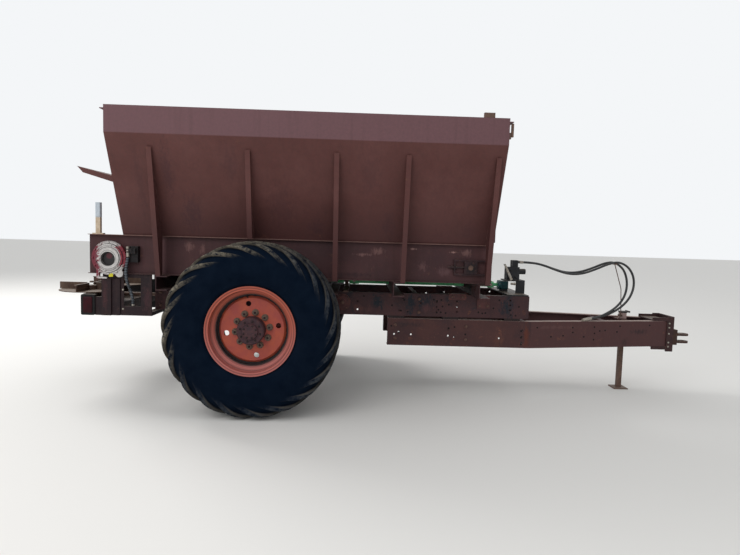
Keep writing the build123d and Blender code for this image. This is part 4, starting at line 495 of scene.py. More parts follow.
def web_bolts(table):
    """Bolts of a table in rows on the webs of both sides."""
    return [shape for side in (-1, 1) for xs, zs, proud, across, head in table
            for shape in hex_bolts([(x, side * (RAIL_FACE + proud), z) for x in xs for z in zs],
                                   (0, side, 0), across, head)]


flange_bolts = []
for side in (-1, 1):
    pivot = bolt_circle(81, np.arange(4) * math.pi / 2 + 0.6, 840, side * (RAIL_FACE + 12), 1035)
    flange_bolts += hex_bolts(pivot, (0, side, 0), 16.0, 7.0)
build("frame_bolts", web_bolts(FRAME_BOLTS) + flange_bolts, bolt_enamel)

# Tongue and hitch: bolts through the packing pieces and through the flanges of the head
build("tongue_bolts", web_bolts(TONGUE_BOLTS), bolt_enamel)
head_bolts = []
for side in (-1, 1):
    head_bolts += hex_bolts([(4752, side * 175, z) for z in (560, 610, 715, 790, 840)], (0, side, 0), 17.0, 8.0)
build("head_bolts", head_bolts, plated_steel)

# Open holes: punched through the webs for other fittings, burrs round them. Each is drawn as a dark dished
# disc inside its burr: painted shade that stands for the dark inside of the hole.
hole_shade = enamel("painted_shade_in_bolt_holes", "#0f0a0b", "#1a1112", patch_mm=12.0, rust=0.2, dust=0.0,
                    matt=0.8)
hole = turned([(0, 0.25), (7.4, 0.3), (8.3, 1.1), (9.6, 1.0), (10.6, -0.3), (0, -0.3)], 20)
TONGUE_BEND, TONGUE_LEAN = 2965.0, 0.1903    # past the bend the web draws in by this share of the way
RAIL_HOLES = [
    (1077, 1108), (1532, 1075), (1396, 1010), (1499, 953), (1575, 944), (1864, 1088), (1902, 1074),
    (1950, 1086), (1965, 1012), (2035, 1035), (1921, 976), (1903, 942), (1948, 946), (2003, 939),
    (2125, 1073), (2386, 1080), (2455, 1074), (2542, 1008), (2374, 958), (2418, 947), (2453, 951),
    (2606, 1101), (2797, 931), (2830, 1031), (2743, 937)]
TONGUE_HOLES = [
    (1396, 779), (1482, 705), (2046, 769), (2111, 783), (2236, 702), (2870, 757), (2870, 680), (2874, 603),
    (3498, 795), (3502, 739), (3232, 691), (3382, 703), (3643, 687), (3772, 800), (3777, 726), (3770, 652),
    (3844, 753), (3913, 759), (4068, 741), (4104, 808), (4496, 817), (3057, 798)]
hole_shapes = []
for side in (-1, 1):
    hole_shapes.append(laid(hole, [(x, side * RAIL_FACE, z) for x, z in RAIL_HOLES], (0, side, 0)))
    for x, z in TONGUE_HOLES:
        past = max(x - TONGUE_BEND, 0.0)
        lean = TONGUE_LEAN if past else 0.0
        hole_shapes.append(laid(hole, [(x, side * (RAIL_FACE - past * lean), z)], (lean, side, 0)))
build("open_bolt_holes", hole_shapes, hole_shade)

# Clevis: a weldment of burnt plate, bare and brown
burnt_plate = enamel("rusty_burnt_plate", "#3c2a27", "#4c362e", patch_mm=60.0, rust=0.9, bare="#5c4032",
                     matt=0.75)
dress(burnt_plate, "hitch_clevis")

# Running gear: square axle tube with turned spindles, in hangers below the rails
dress(frame_enamel, "axle_beam", "axle_mounts")
hanger_bolts = []
for side in (-1, 1):
    hanger_bolts += hex_bolts([(x, side * y, 789) for x in (-42, 42) for y in (462, 538)], (0, 0, -1), 27.0)
build("hanger_bolts", hanger_bolts, bolt_enamel)


# Wheels: pressed steel rims, orange enamel gone chalky on the disc, the barrel paler and pinker towards the
# bottom, and a ragged dark band painted as shade in the crease where the disc is welded in. The enamel is plain,
# so the painted shade and highlight follow the rings.
HUB_Z = 850.0                # mm, and in m for the material
HUB_HEIGHT = HUB_Z / 1000
DISC_EDGE = 0.331            # m
RINGS_FROM, RINGS_TO = 0.34, 0.44
RIM_RINGS = (
    # radius in m, share of the enamel's brightness: painted shade in the steps, painted highlight on the ridges
    (0.347, 0.35), (0.354, 0.7), (0.364, 0.8), (0.368, 1.25), (0.373, 1.05), (0.384, 0.85), (0.389, 0.45),
    (0.394, 0.8), (0.398, 1.15), (0.404, 1.0), (0.411, 0.6), (0.415, 0.4), (0.419, 1.1), (0.427, 1.0),
    (0.4325, 0.4),
)


def about_axle(add, place, x, z):
    """The place seen from an axle along Y at (x, z) in m: the ways forward and up, both in one vector, and
    the distance from the axle."""
    centred = add("Mapping", {"Vector": place, "Location": (-x, 0.0, -z)})
    forward, _, up = add("SeparateXYZ", {0: centred}).outputs
    flat = add("CombineXYZ", {0: forward, 1: up})
    return forward, up, flat, add("VectorMath", {0: flat}, operation="LENGTH")


def banded(add, skin, code, radius, edges, most=1.0):
    """A coat in a ring: it starts at the first of the edges, is full from the second to the third and ends
    at the fourth."""
    inner = add("MapRange", {"Value": radius, "From Min": edges[0], "From Max": edges[1], "To Max": most})
    outer = add("MapRange", {"Value": radius, "From Min": edges[3], "From Max": edges[2]})
    share = add("Math", {0: inner, 1: outer}, operation="MULTIPLY")
    return add("Mix", {0: share, 6: skin, 7: code}, data_type="RGBA")


rim_enamel, add, place = new_material("faded_orange_rim_enamel")
_, rise, _, from_axis = about_axle(add, place, 0.0, HUB_HEIGHT)
# This ramp paints rings of shade and highlight across the barrel and its edges.
way_out = add("MapRange", {"Value": from_axis, "From Min": RINGS_FROM, "From Max": RINGS_TO})
ring_shade_and_highlight = add("ValToRGB", {0: way_out})
while len(ring_shade_and_highlight.color_ramp.elements) < len(RIM_RINGS):
    ring_shade_and_highlight.color_ramp.elements.new(0.5)
for stop, (radius, grey) in zip(ring_shade_and_highlight.color_ramp.elements, RIM_RINGS):
    stop.position = (radius - RINGS_FROM) / (RINGS_TO - RINGS_FROM)
    stop.color = (grey, grey, grey, 1.0)
barrel, _ = coated(add, "#a14c38", "#a65c55", rise, 0.15, -0.25)
ringed = add("Mix", {0: 1.0, 6: barrel, 7: ring_shade_and_highlight}, data_type="RGBA", blend_type="MULTIPLY")
disc, _, cloud = flecked(add, place, "#ab4c30", "#98403a", 120, 0.35, 0.65, Detail=7.0, Roughness=0.65)
skin, _ = coated(add, ringed, disc, from_axis, DISC_EDGE, DISC_EDGE - 0.004)
skin, chips, speck = flecked(add, place, skin, "#5a3026", 9, 0.63, 0.7, 0.85, Detail=6.0, Roughness=0.7)
# Painted shade: a ragged near-black band in the crease where the disc meets the barrel.
ragged = add("TexNoise", {"Vector": place, "Scale": 1000 / 30, "Detail": 6.0})
ragged = add("Math", {0: ragged, 1: 0.012, 2: from_axis}, operation="MULTIPLY_ADD")
skin = banded(add, skin, "#1b0f10", ragged, (0.328, 0.331, 0.350, 0.355))
chalk = add("MapRange", {"Value": cloud, "To Min": 0.5, "To Max": 0.75})
dent = add("Math", {0: speck, 1: chips}, operation="SUBTRACT")
finish(add, {"Base Color": skin, "Roughness": chalk}, dent, strength=0.3, depth=0.0008)
dress(rim_enamel, "rim_right", "rim_left")

# Hubs: grey iron castings, rusted to a dark purple brown, with turned ends
hub_iron = enamel("rusted_cast_iron_hub", "#34232a", "#472c2e", patch_mm=40.0, rust=0.8, bare="#58383a",
                  dust=0.0, matt=0.68)
dress(hub_iron, "hub_right", "hub_left")

# Wheel nuts: ball-seat nuts with flanges, brown grey, the stud's sawn end dark inside each. The hub's ends have
# bolts of their own, the disc a valve stem, and the rim's edges carry the painted rings of shade and highlight.
nut_steel = enamel("brown_wheel_nuts", "#6f5f52", "#574a42", patch_mm=12.0, rust=0.7, bare="#5c4034",
                   dust=0.0, matt=0.6)
stud_shade = enamel("dark_stud_ends", "#1c1516", "#2c2020", patch_mm=8.0, rust=0.4, bare="#4a342c",
                    dust=0.0, matt=0.8)
TYRE_TRACK, RIM_HALF, DISC_DEPTH = 1235.0, 265.0, 140.0
DISC_FACE = TYRE_TRACK + RIM_HALF - DISC_DEPTH
HUB_NOSE = DISC_FACE + 128.0
STUD_ANGLES = np.radians(9.0 + 36.0 * np.arange(10))
CAP_ANGLES = np.radians(20.0 + 45.0 * np.arange(8))
VALVE_ANGLE = np.radians([99.5])
NUT = [(0, 5.5), (26.6, 5.5), (26.6, 25.0), (23.0, 29.0), (14.6, 29.0), (13.2, 26.0), (0, 26.0)]
NUT_FLANGE = [(0, 0), (33.5, 0), (33.5, 4.5), (30.5, 8.5), (0, 8.5)]
STUD_END = [(0, 20.0), (10.6, 20.0), (10.6, 33.2), (9.4, 34.4), (0, 34.4)]
STEM = [(0, 0), (9.0, 0), (9.0, 18), (6.0, 22), (6.0, 52), (4.6, 54), (4.6, 62), (3.5, 64), (0, 64)]
HOOP = [(343.0, 0), (338.5, 2.0), (338.5, 8.0), (343.0, 12.0), (349.0, 12.0), (349.0, 0), (343.0, 0)]
LIP = [(421.5, 0), (418.0, 3.0), (419.0, 10.0), (424.0, 14.2), (430.8, 14.2), (431.4, 10.0), (431.0, 3.0),
       (428.0, 0), (421.5, 0)]
for side, hand in ((-1, "right"), (1, "left")):
    body, out = "wheel_" + hand, (0, side, 0)
    studs = bolt_circle(167.5, STUD_ANGLES, 0, side * (DISC_FACE + 0.3), HUB_Z)
    cap = bolt_circle(60.0, CAP_ANGLES, 0, side * (HUB_NOSE + 22.0), HUB_Z)
    collar = bolt_circle(98.0, CAP_ANGLES + 0.2, 0, side * HUB_NOSE, HUB_Z)
    valve = bolt_circle(338.0, VALVE_ANGLE, 0, side * (DISC_FACE - 8.0), HUB_Z)
    inward = (-math.cos(VALVE_ANGLE[0]), 0.0, -math.sin(VALVE_ANGLE[0]))
    build("wheel_nuts_" + hand, [laid(turned(NUT, 6), studs, out, 0.4),
                                 laid(turned(NUT_FLANGE, 20), studs, out)], nut_steel, body)
    build("stud_ends_" + hand, [laid(turned(STUD_END, 16), studs, out)], stud_shade, body)
    build("hub_cap_bolts_" + hand, hex_bolts(cap, out, 15.0, 6.0, 1.5) + hex_bolts(collar, out, 17.0, 7.0, 1.5),
          stud_shade, body)
    build("valve_stem_" + hand, [laid(turned(STEM, 14), valve, inward)], stud_shade, body)
    build("rim_edges_" + hand, [laid(turned(HOOP, 96), (0, side * (DISC_FACE + 30.0), HUB_Z), out),
                                laid(turned(LIP, 96), (0, side * (TYRE_TRACK + RIM_HALF - 13.5), HUB_Z), out)],
          rim_enamel, body)


# Tyres: flotation tyres with long bars, black rubber greyed by the weather, tan dust ground into the bars, and
# the bars' edges pale with dust and painted highlight. A row of points runs across the tyre, and the rows follow
# the slant of the bars.
BAR_PITCH = 18.0
BAR_PATH = [
    # way from the middle of the tread along the surface, turn about the axle in degrees: past the shoulder
    # the bars lean over and run out almost along the tyre
    (0.0, 0.0), (150.0, 14.0), (230.0, 23.0), (280.0, 30.0), (330.0, 39.0), (380.0, 48.0), (430.0, 55.0),
    (480.0, 58.0),
]
CARCASS = [
    # across from the middle, radius: from the bead out over the side to the crown
    (250.5, 407.0), (250.8, 424.0), (256.0, 440.0), (270.0, 455.0), (276.0, 470.0), (281.0, 492.0),
    (291.0, 530.0), (297.0, 580.0), (299.0, 640.0), (297.5, 700.0), (290.0, 748.0), (274.0, 783.0),
    (246.0, 803.0), (205.0, 812.0), (150.0, 818.0), (75.0, 822.0), (0.0, 823.0),
]
BAR_TOPS = CARCASS[:8] + [(299.2, 640.0), (306.0, 700.0), (316.0, 752.0), (313.0, 797.0), (288.0, 824.0),
                          (236.0, 836.0), (165.0, 843.0), (80.0, 848.5), (0.0, 850.0)]
LINER = [(0.0, 792.0), (150.0, 788.0), (240.0, 768.0), (266.0, 700.0), (268.0, 560.0), (250.0, 470.0),
         (222.0, 430.0), (222.0, 407.0)]


def through(points, each):
    """Catmull-Rom curve through the points with `each` steps on a span, worked out for all spans at once."""
    p = np.asarray(points, float)
    p = np.concatenate([[2 * p[0] - p[1]], p, [2 * p[-1] - p[-2]]])
    t = (np.arange(each) / each)[None, :, None]
    a, b, c, d = (p[i:len(p) - 3 + i, None, :] for i in range(4))
    curve = 0.5 * (2 * b + (c - a) * t + (2 * a - 5 * b + 4 * c - d) * t ** 2 + (3 * b - a - 3 * c + d) * t ** 3)
    return np.concatenate([curve.reshape(-1, p.shape[1]), [p[-2]]])


def step(x, low, high):
    """Smooth step from 0 at low to 1 at high: 3 t^2 - 2 t^3."""
    t = np.clip((x - low) / (high - low), 0.0, 1.0)
    return t * t * (3 - 2 * t)


def tyre_surface():
    """Point (i, j) is carcass_i plus the bar's height share times (bar top_i - carcass_i), at the angle
    of column j turned on along the path of the bars. Columns crowd at the edges of the bars."""
    carcass, tops, liner = through(CARCASS, 4), through(BAR_TOPS, 4), through(LINER, 2)
    outer = np.concatenate([carcass, (carcass * (-1, 1))[-2::-1]])
    crests = np.concatenate([tops, (tops * (-1, 1))[-2::-1]])
    inner = np.concatenate([(liner * (-1, 1))[::-1], liner[1:]])
    near = np.array([-4.3, -3.8, -3.3, -2.85, -2.45, -2.05, -1.0, 0.0, 1.0, 2.05, 2.45, 2.85, 3.3, 3.8, 4.3])
    columns = (np.arange(40)[:, None] * BAR_PITCH / 2 + near[None, :]).ravel()
    across = outer[:, 0]
    reach = np.concatenate([[0], np.cumsum(np.linalg.norm(np.diff(outer, axis=0), axis=1))])
    reach = np.abs(reach - reach[len(carcass) - 1])
    turned_by = np.interp(reach, *np.transpose(BAR_PATH))
    turned_by = np.convolve(np.pad(turned_by, 3, mode="edge"), np.full(7, 1 / 7), mode="valid")
    below = step(np.abs(crests[:, 1]), 705.0, 785.0)
    raised, edge = np.zeros((2, len(outer), len(columns)))
    for hand, shift in ((1, 0.0), (-1, 0.5)):
        off = (columns - shift * BAR_PITCH + BAR_PITCH / 2) % BAR_PITCH - BAR_PITCH / 2
        wide = 1.0 + 0.6 * step(hand * reach * np.sign(across), 150, 380)[:, None]
        bar = 1.0 - step(np.abs(off)[None, :], 1.85 * wide, 2.75 * wide)
        there = (step(hand * across, -26.0, -10.0) * below)[:, None]
        raised = np.maximum(raised, bar * there)
        edge = np.maximum(edge, 4 * bar * (1 - bar) * there)
    place = outer[:, None, :] + raised[:, :, None] * (crests - outer)[:, None, :]
    place = np.concatenate([place, np.broadcast_to(inner[:, None, :], (len(inner), len(columns), 2))])
    turned_by = np.concatenate([turned_by, np.full(len(inner), turned_by[0])])
    angle = np.radians(90.0 - columns[None, :] - turned_by[:, None])
    smooth = np.zeros((len(inner), len(columns)))
    points = np.stack([place[..., 1] * np.cos(angle), -place[..., 0] - TYRE_TRACK,
                       HUB_Z + place[..., 1] * np.sin(angle)], axis=-1)
    return (points.reshape(-1, 3), net(*angle.shape, closed=True),
            {"bar_edge": np.concatenate([edge, smooth]), "bar_height": np.concatenate([raised, smooth])})


# Tan earth is ground into the raised bars in clumps; its tone is painted paler on the bars high up and to the
# rear, as painted light where sunlight from behind falls, and the thin pale edges of the bars are dust and
# painted highlight.
tyre_rubber, add, place = new_material("weathered_tyre_rubber")
# The blue cast of this black rubber is painted skylight.
skin, _, cloud = flecked(add, place, "#060c16", "#0d1520", 140, 0.35, 0.7, Detail=8.0, Roughness=0.66)
edges = add("Attribute", attribute_name="bar_edge").outputs["Fac"]
height = add("Attribute", attribute_name="bar_height").outputs["Fac"]
parts = add("SeparateXYZ", {0: place}).outputs
to_rear = add("Math", {0: parts[2], 1: parts[0]}, operation="SUBTRACT")
# Painted light: the coat turns from grey to pale tan on the bars high up and to the rear, where the sun falls.
earth_and_painted_sun, painted_sun_share = coated(add, "#3c3e40", "#827a6a", to_rear, HUB_HEIGHT + 0.1, HUB_HEIGHT + 0.95)
clumps = add("TexNoise", {"Vector": place, "Scale": 1000 / 45, "Detail": 9.0, "Roughness": 0.72})
caught = add("MapRange", {"Value": clumps, "From Min": 0.4, "From Max": 0.62})
ground_in = add("Math", {0: height, 1: caught}, operation="MULTIPLY")
skin = add("Mix", {0: ground_in, 6: skin, 7: earth_and_painted_sun}, data_type="RGBA")
edge_dust_and_highlight_share = add("MapRange", {"Value": painted_sun_share, "To Min": 0.24, "To Max": 0.5})
edge_dust_and_highlight = add("Math", {0: edges, 1: edge_dust_and_highlight_share}, operation="MULTIPLY")
skin = add("Mix", {0: edge_dust_and_highlight, 6: skin, 7: "#8a8172"}, data_type="RGBA")
dull = add("MapRange", {"Value": cloud, "To Min": 0.5, "To Max": 0.8})
crack = add("TexNoise", {"Vector": place, "Scale": 1000 / 5, "Detail": 5.0, "Roughness": 0.7})
# The blue Specular Tint is a painted reflection of a blue sky.
finish(add, {"Base Color": skin, "Roughness": dull, "Specular IOR Level": 0.12, "Specular Tint": "#5f8fd0"},
       crack, strength=0.25, depth=0.0015)

points, quads, shares = tyre_surface()
for side, hand in ((1, "right"), (-1, "left")):
    tyre = build("lugged_tyre_" + hand, [(points * (1, side, 1), quads[:, ::side])], tyre_rubber,
                 "wheel_" + hand, sharp=50.0, values=shares)
    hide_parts("tyre_" + hand)


# Hopper: folded 5 mm sheet with a band along the top and ribs up the slope, welded to the sills.
# Maroon enamel, chalky and streaked by rain, darker towards the bottom; the band faces the sky and is painted
# lighter there, as painted light.
HOPPER_STAINS = (
    # x, z, half length, half height, colour, share: damp runs and worn paint on the right-hand slope
    (-0.93, 2.35, 0.07, 0.30, "#3a2228", 0.45), (-0.72, 1.95, 0.12, 0.20, "#34202a", 0.4),
    (-1.22, 2.25, 0.05, 0.42, "#3c2427", 0.3), (-0.30, 2.45, 0.10, 0.22, "#41282b", 0.3),
    (0.20, 2.05, 0.16, 0.26, "#3b2428", 0.3), (0.55, 1.85, 0.10, 0.10, "#36222a", 0.3),
    (1.10, 2.40, 0.12, 0.26, "#40282b", 0.25), (1.30, 1.90, 0.10, 0.16, "#39242a", 0.3),
    (1.85, 2.20, 0.20, 0.30, "#472c2c", 0.2), (2.15, 1.86, 0.10, 0.10, "#3b252a", 0.25),
)
SILL_STAINS = (
    # pale scrapes where straps and forks have rubbed the sill, and dark damp under them
    (-0.80, 1.61, 0.05, 0.055, "#7d5b57", 0.6), (-0.66, 1.58, 0.03, 0.06, "#755450", 0.55),
    (1.22, 1.62, 0.09, 0.035, "#7a5955", 0.6), (1.60, 1.655, 0.05, 0.012, "#94726c", 0.9),
    (1.70, 1.47, 0.05, 0.06, "#6b4c4c", 0.55), (2.03, 1.63, 0.05, 0.012, "#94726c", 0.9),
    (2.17, 1.63, 0.06, 0.045, "#80605c", 0.65), (1.05, 1.58, 0.10, 0.02, "#7c5b58", 0.7),
    (0.95, 1.36, 0.30, 0.03, "#2a1b20", 0.6), (1.95, 1.42, 0.10, 0.05, "#5d4244", 0.6),
)
# Its last zone paints the top band pale: painted light where the band faces the sky. The first zone darkens the
# slope towards the bottom.
hopper_enamel = enamel("faded_maroon_hopper_enamel", "#573330", "#613c39", patch_mm=520.0, rust=0.15,
                       bare="#674236", streaks=0.14, stains=HOPPER_STAINS,
                       zones=((2, 2.15, 1.78, "#4e2f2e"), (2, 2.7, 2.712, "#6a4c51")))
# Its zone paints the top edge of the sill's flange pale: a painted highlight where light falls along that edge.
sill_enamel = enamel("maroon_sill_enamel", "#3c2427", "#4b2e2f", patch_mm=420.0, rust=0.4, bare="#5f3d33",
                     streaks=0.45, stains=SILL_STAINS, zones=((2, 1.7065, 1.709, "#806059"),))
dress(hopper_enamel, "hopper_side_right", "hopper_side_left", "hopper_front", "hopper_rear", "side_ribs_right",
      "side_ribs_left", "rear_hood", "feed_gate")
dress(sill_enamel, "sill_right", "sill_left")

# Weld beads: arc welds along both edges of each rib and under the sills, ripples about 6 mm apart,
# drawn 12 mm apart so that they show
weld_enamel = enamel("painted_weld_beads", "#5a3a36", "#4a302e", patch_mm=40.0, rust=0.6, bare="#70493a")
BEAD_ANGLES = np.arange(6) * math.pi / 3
BAND_FOOT, SILL_TOP = 2706.0, 1716.0
SLOPE = (1200.0 - 752.0) / (BAND_FOOT - SILL_TOP)


def weld(start, stop, radius):
    """Bead along a straight seam: point (i, j) = path_i + r_i (cos a_j side + sin a_j above), with r_i 0.16
    over and under the radius by turns. Both ends close in a point."""
    run = np.subtract(stop, start)
    length = np.linalg.norm(run)
    count = max(4, int(length / 6.0))
    path = np.array(start, float) + np.linspace(0, 1, count)[:, None] * run
    sideways = np.cross(run / length, (0, 0, 1) if abs(run[2]) < 0.9 * length else (1, 0, 0))
    sideways /= np.linalg.norm(sideways)
    circle = (np.cos(BEAD_ANGLES)[:, None] * sideways
              + np.sin(BEAD_ANGLES)[:, None] * np.cross(sideways, run / length))
    size = radius * (1 + 0.16 * np.where(np.arange(count) % 2, 1, -1))
    size, path = np.pad(size, 1), np.pad(path, ((1, 1), (0, 0)), mode="edge")
    points = path[:, None] + size[:, None, None] * circle
    return points.reshape(-1, 3), net(*points.shape[:2])[:, [1, 0, 3, 2]]


rib_welds = []
for side in (-1, 1):
    for x in (-1070.0, -112.0, 762.0, 1474.0, 2368.0):
        for edge in (-5.0, 5.0):
            ends = [(x + edge, side * (753.0 + (z - SILL_TOP) * SLOPE), z) for z in (1722.0, 2575.0)]
            rib_welds.append(weld(*ends, 3.2))
    rib_welds.append(weld((-1480, side * 756, 1717), (2440, side * 756, 1717), 3.6))
build("hopper_welds", rib_welds, weld_enamel)

# Top fittings: an angle block and a bent rod on the top edge, plain rusty steel
rod_steel = enamel("rusty_rod_steel", "#55423a", "#6a5348", patch_mm=40.0, rust=0.8, bare="#754f38")
dress(rod_steel, "top_fittings", "gate_jack")

# Conveyor: deck plates polished by lime and slats, chain and slats brown with rust, worn at the edges
deck_steel, add, place = new_material("lime_polished_deck_steel")
drawn = add("Mapping", {"Vector": place, "Scale": (2.0, 90.0, 90.0)})
scratch = add("TexNoise", {"Vector": drawn, "Scale": 2.0, "Detail": 6.0})
lines = add("Mix", {0: scratch, 6: "#5d5048", 7: "#8b8178"}, data_type="RGBA")
skin, caked, _ = flecked(add, place, lines, "#79573f", 180, 0.42, 0.62, Detail=9.0, Roughness=0.7)
bare_metal = add("MapRange", {"Value": caked, "To Min": 0.7, "To Max": 0.0})
rough = add("MapRange", {"Value": scratch, "To Min": 0.38, "To Max": 0.75})
finish(add, {"Base Color": skin, "Metallic": bare_metal, "Roughness": rough})
chain_rust = enamel("rusted_chain_steel", "#5c4031", "#7a5a44", patch_mm=70.0, rust=0.8, bare="#8a5f42",
                    dust=0.3, matt=0.7)
dress(deck_steel, "conveyor_floor")
dress(chain_rust, "conveyor_chain")
dress(rod_steel, "conveyor_rollers")
take_up_enamel = enamel(
    "greasy_take_up_enamel", "#2b1b1f", "#392427", patch_mm=80.0, rust=0.6,
    stains=((2.21, 1.47, 0.11, 0.075, "#150f12", 1.0), (2.08, 1.47, 0.10, 0.05, "#1d1518", 0.8)))
dress(take_up_enamel, "take_ups")
take_up_nuts = []
for side in (-1, 1):
    for x, way, head in ((2018.0, -1, 16.0), (2046.0, 1, 14.0)):
        take_up_nuts += hex_bolts([(x, side * 752.0, 1470.0)], (way, 0, 0), 30.0, head)
build("take_up_nuts", take_up_nuts, take_up_enamel)

# Gearcase of the conveyor drive: planetary housing in silver enamel over red, which shows in arcs on the
# rim and in the bore; turned faces with a ring of bolts
CASE_X, CASE_Z = -1612.0, 1470.0
case_enamel, add, place = new_material("silver_over_red_gearcase_enamel")
forward, up, flat, from_axis = about_axle(add, place, CASE_X / 1000, CASE_Z / 1000)
flake = add("TexNoise", {"Vector": place, "Scale": 1000 / 34, "Detail": 8.0, "Roughness": 0.7})
silver = add("Mix", {0: flake, 6: "#807d7c", 7: "#e6e2de"}, data_type="RGBA")
bearing = add("Math", {0: up, 1: forward}, operation="ARCTAN2")
swing = add("Math", {0: bearing, 1: 2.0, 2: -0.35}, operation="MULTIPLY_ADD")
arcs = add("Math", {0: swing}, operation="COSINE")
flaked = add("Math", {0: arcs, 1: 0.25, 2: flake}, operation="MULTIPLY_ADD")
red_share = add("MapRange", {"Value": flaked, "From Min": 0.5, "From Max": 0.56})
outer_red = add("MapRange", {"Value": from_axis, "From Min": 0.122, "From Max": 0.130})
red_part = add("Math", {0: red_share, 1: outer_red}, operation="MULTIPLY")
skin = add("Mix", {0: red_part, 6: silver, 7: "#7a1226"}, data_type="RGBA")
to_rear = add("MapRange", {"Value": forward, "From Min": 0.06, "From Max": -0.13, "To Min": -0.35,
                           "To Max": 0.12})
worn = add("TexNoise", {"Vector": place, "Scale": 1000 / 22, "Detail": 9.0, "Roughness": 0.72})
showing = add("Math", {0: worn, 1: to_rear}, operation="ADD")
skin, _ = coated(add, skin, "#6e1028", showing, 0.52, 0.58)
# way down from the axis, radii where the colour starts and is full, share, colour: dark bore, wet red spot
for down, start, full, most, code in ((0.008, 0.0748, 0.0735, 1.0, "#100a0c"),
                                      (-0.022, 0.036, 0.026, 0.9, "#4e0c1c")):
    shifted = add("VectorMath", {0: flat, 1: (0.0, down, 0.0)}, operation="ADD")
    away = add("VectorMath", {0: shifted}, operation="LENGTH")
    skin, _ = coated(add, skin, code, away, start, full, most)
skin = banded(add, skin, "#2a2022", from_axis, (0.1465, 0.1475, 0.1505, 0.152))
# radius, half width, colour, share: fine turned lines
for radius, half, code, most in ((0.0815, 0.0016, "#4a4644", 0.8), (0.1155, 0.0018, "#3a3234", 0.9),
                                 (0.1325, 0.0016, "#4c4446", 0.7), (0.171, 0.0014, "#50282e", 0.7)):
    skin = banded(add, skin, code, from_axis, radius + half * np.array([-1.8, -1, 1, 1.8]), most)
sheen = add("MapRange", {"Value": flake, "To Min": 0.35, "To Max": 0.65})
finish(add, {"Base Color": skin, "Roughness": sheen}, flake, strength=0.25)
dress(case_enamel, "conveyor_drive")

case_angles = np.arange(12) * math.pi / 6
build("gearcase_bolts",
      hex_bolts(bolt_circle(165, case_angles, CASE_X, -810.0, CASE_Z), (0, -1, 0), 19.0, 12.5, 1.0)
      + hex_bolts(bolt_circle(135, case_angles[::2] + 0.3, CASE_X, -824.0, CASE_Z), (0, -1, 0), 17.0, 9.0, 1.0),
      case_enamel)

# Tag of the gearcase: a blank sheet tag in yellow enamel under one of its bolts
tag_enamel = enamel("yellow_tag_enamel", "#c6bd1e", "#d6cc48", patch_mm=30.0, rust=0.2, bare="#5a4a2a",
                    dust=0.1, matt=0.45)
tag = stacked([(-17, -22), (17, -22), (17, 20), (15, 22), (-15, 22), (-17, 20)],
              [(0, 0), (1, 0), (1, 1.6), (0, 1.6)])
build("gearcase_tag", [laid(tag, (-1590, -811.5, 1290), (0, -1, 0), 0.06)], tag_enamel)

# Drive motor: dark cast body with a silver elbow, bolted to the sill beside the gearcase
motor_iron = enamel("dark_motor_casting", "#0f0c0f", "#1c181a", patch_mm=50.0, rust=0.5, bare="#5a4038")
dress(motor_iron, "drive_motor")
elbow = turned([(0, 0), (16.5, 0), (16.5, 12), (19, 13), (19, 26), (16.5, 27), (16.5, 36), (14, 37),
                (0, 37)], 6)
elbow_cap = turned([(0, 0), (17, 0), (17, 22), (14, 24), (0, 24)], 24)
build("motor_elbow", [laid(elbow, (-1412, -814, 1536), (0, 0, 1)),
                      laid(elbow_cap, (-1412, -814, 1572), (0, 0, 1))], plated_steel)

# Spreading gear: frame of plate and box section hung from the sills, cast gearboxes, finned discs worn
# bright where the lime leaves them
SPINNER_X, SPINNER_Y = -1985, 400
spinner_frame_enamel = enamel(
    "sooty_spinner_frame_enamel", "#251418", "#1c1015", patch_mm=260.0, bare="#5a362c", streaks=0.35,
    stains=((-1.665, 1.08, 0.03, 0.2, "#402226", 0.7), (-1.24, 1.05, 0.05, 0.16, "#43262b", 0.6)))
disc_steel = enamel("lime_worn_disc_steel", "#463128", "#5f4c3f", patch_mm=90.0, rust=0.7, bare="#6f5540",
                    dust=0.5, matt=0.6)
dress(spinner_frame_enamel, "spinner_frame")
dress(rod_steel, "spinner_gearboxes", "transfer_case", "shaft_bearings")
dress(disc_steel, "spinner_disc_right", "spinner_disc_left")
spin_bolts = []
for side in (-1, 1):
    spin_bolts += hex_bolts([(-1487, side * 754, 1133), (-1487, side * 754, 926)], (0, side, 0), 17.0, 9.0)
    foot = [(SPINNER_X + x, side * SPINNER_Y + y, 958) for x in (-52, 52) for y in (-62, 62)]
    spin_bolts += hex_bolts(foot, (0, 0, 1), 16.0, 8.0)
build("spinner_frame_bolts", spin_bolts, plated_steel)

# Dark sheet: black, 6 mm thick, clamped inside the left panel and hanging a little wavy behind it; it is painted
# shade, put there so the view through the window of the right panel shows dark. It bulges as 5 sin((x + 1600) /
# 60), growing from its top down.
x, z = np.meshgrid(np.linspace(-2090.0, -1600.0, 44), np.linspace(1120.0, 740.0, 36), indexing="ij")
y = 738.0 - 5.0 * np.sin((x + 1600.0) / 60.0) * (1120.0 - z) / 380.0 * step(-x, 1690.0, 1760.0)
left, right = (np.stack([x, y + off, z], axis=-1) for off in (3.0, -3.0))
shade_sheet = np.concatenate([left[:, :1], left, left[:, -1:], right[:, ::-1]], axis=1)
middle = shade_sheet.mean(axis=1, keepdims=True).repeat(shade_sheet.shape[1], 1)
shade_sheet = np.concatenate([middle[:1], shade_sheet, middle[-1:]])
painted_shade_sheet_enamel = enamel("black_sheet_painted_cavity_shade", "#0f0f11", "#18181a", patch_mm=70.0, rust=0.0, streaks=0.2,
                      dust=0.1, matt=0.8)
build("painted_shade_sheet_left", [(shade_sheet.reshape(-1, 3), net(*shade_sheet.shape[:2]))], painted_shade_sheet_enamel)

# Disc nuts: one large nut on the top of each spinner's shaft, turning with its disc
for side, hand in ((-1, "right"), (1, "left")):
    disc_low, disc_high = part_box("spinner_disc_" + hand)
    shaft_end = [(SPINNER_X, side * SPINNER_Y, disc_high[2] * 1000.0)]
    build("spinner_" + hand + "_nuts", hex_bolts(shaft_end, (0, 0, 1), 36.0, 16.0), nut_steel,
          "spinner_" + hand)

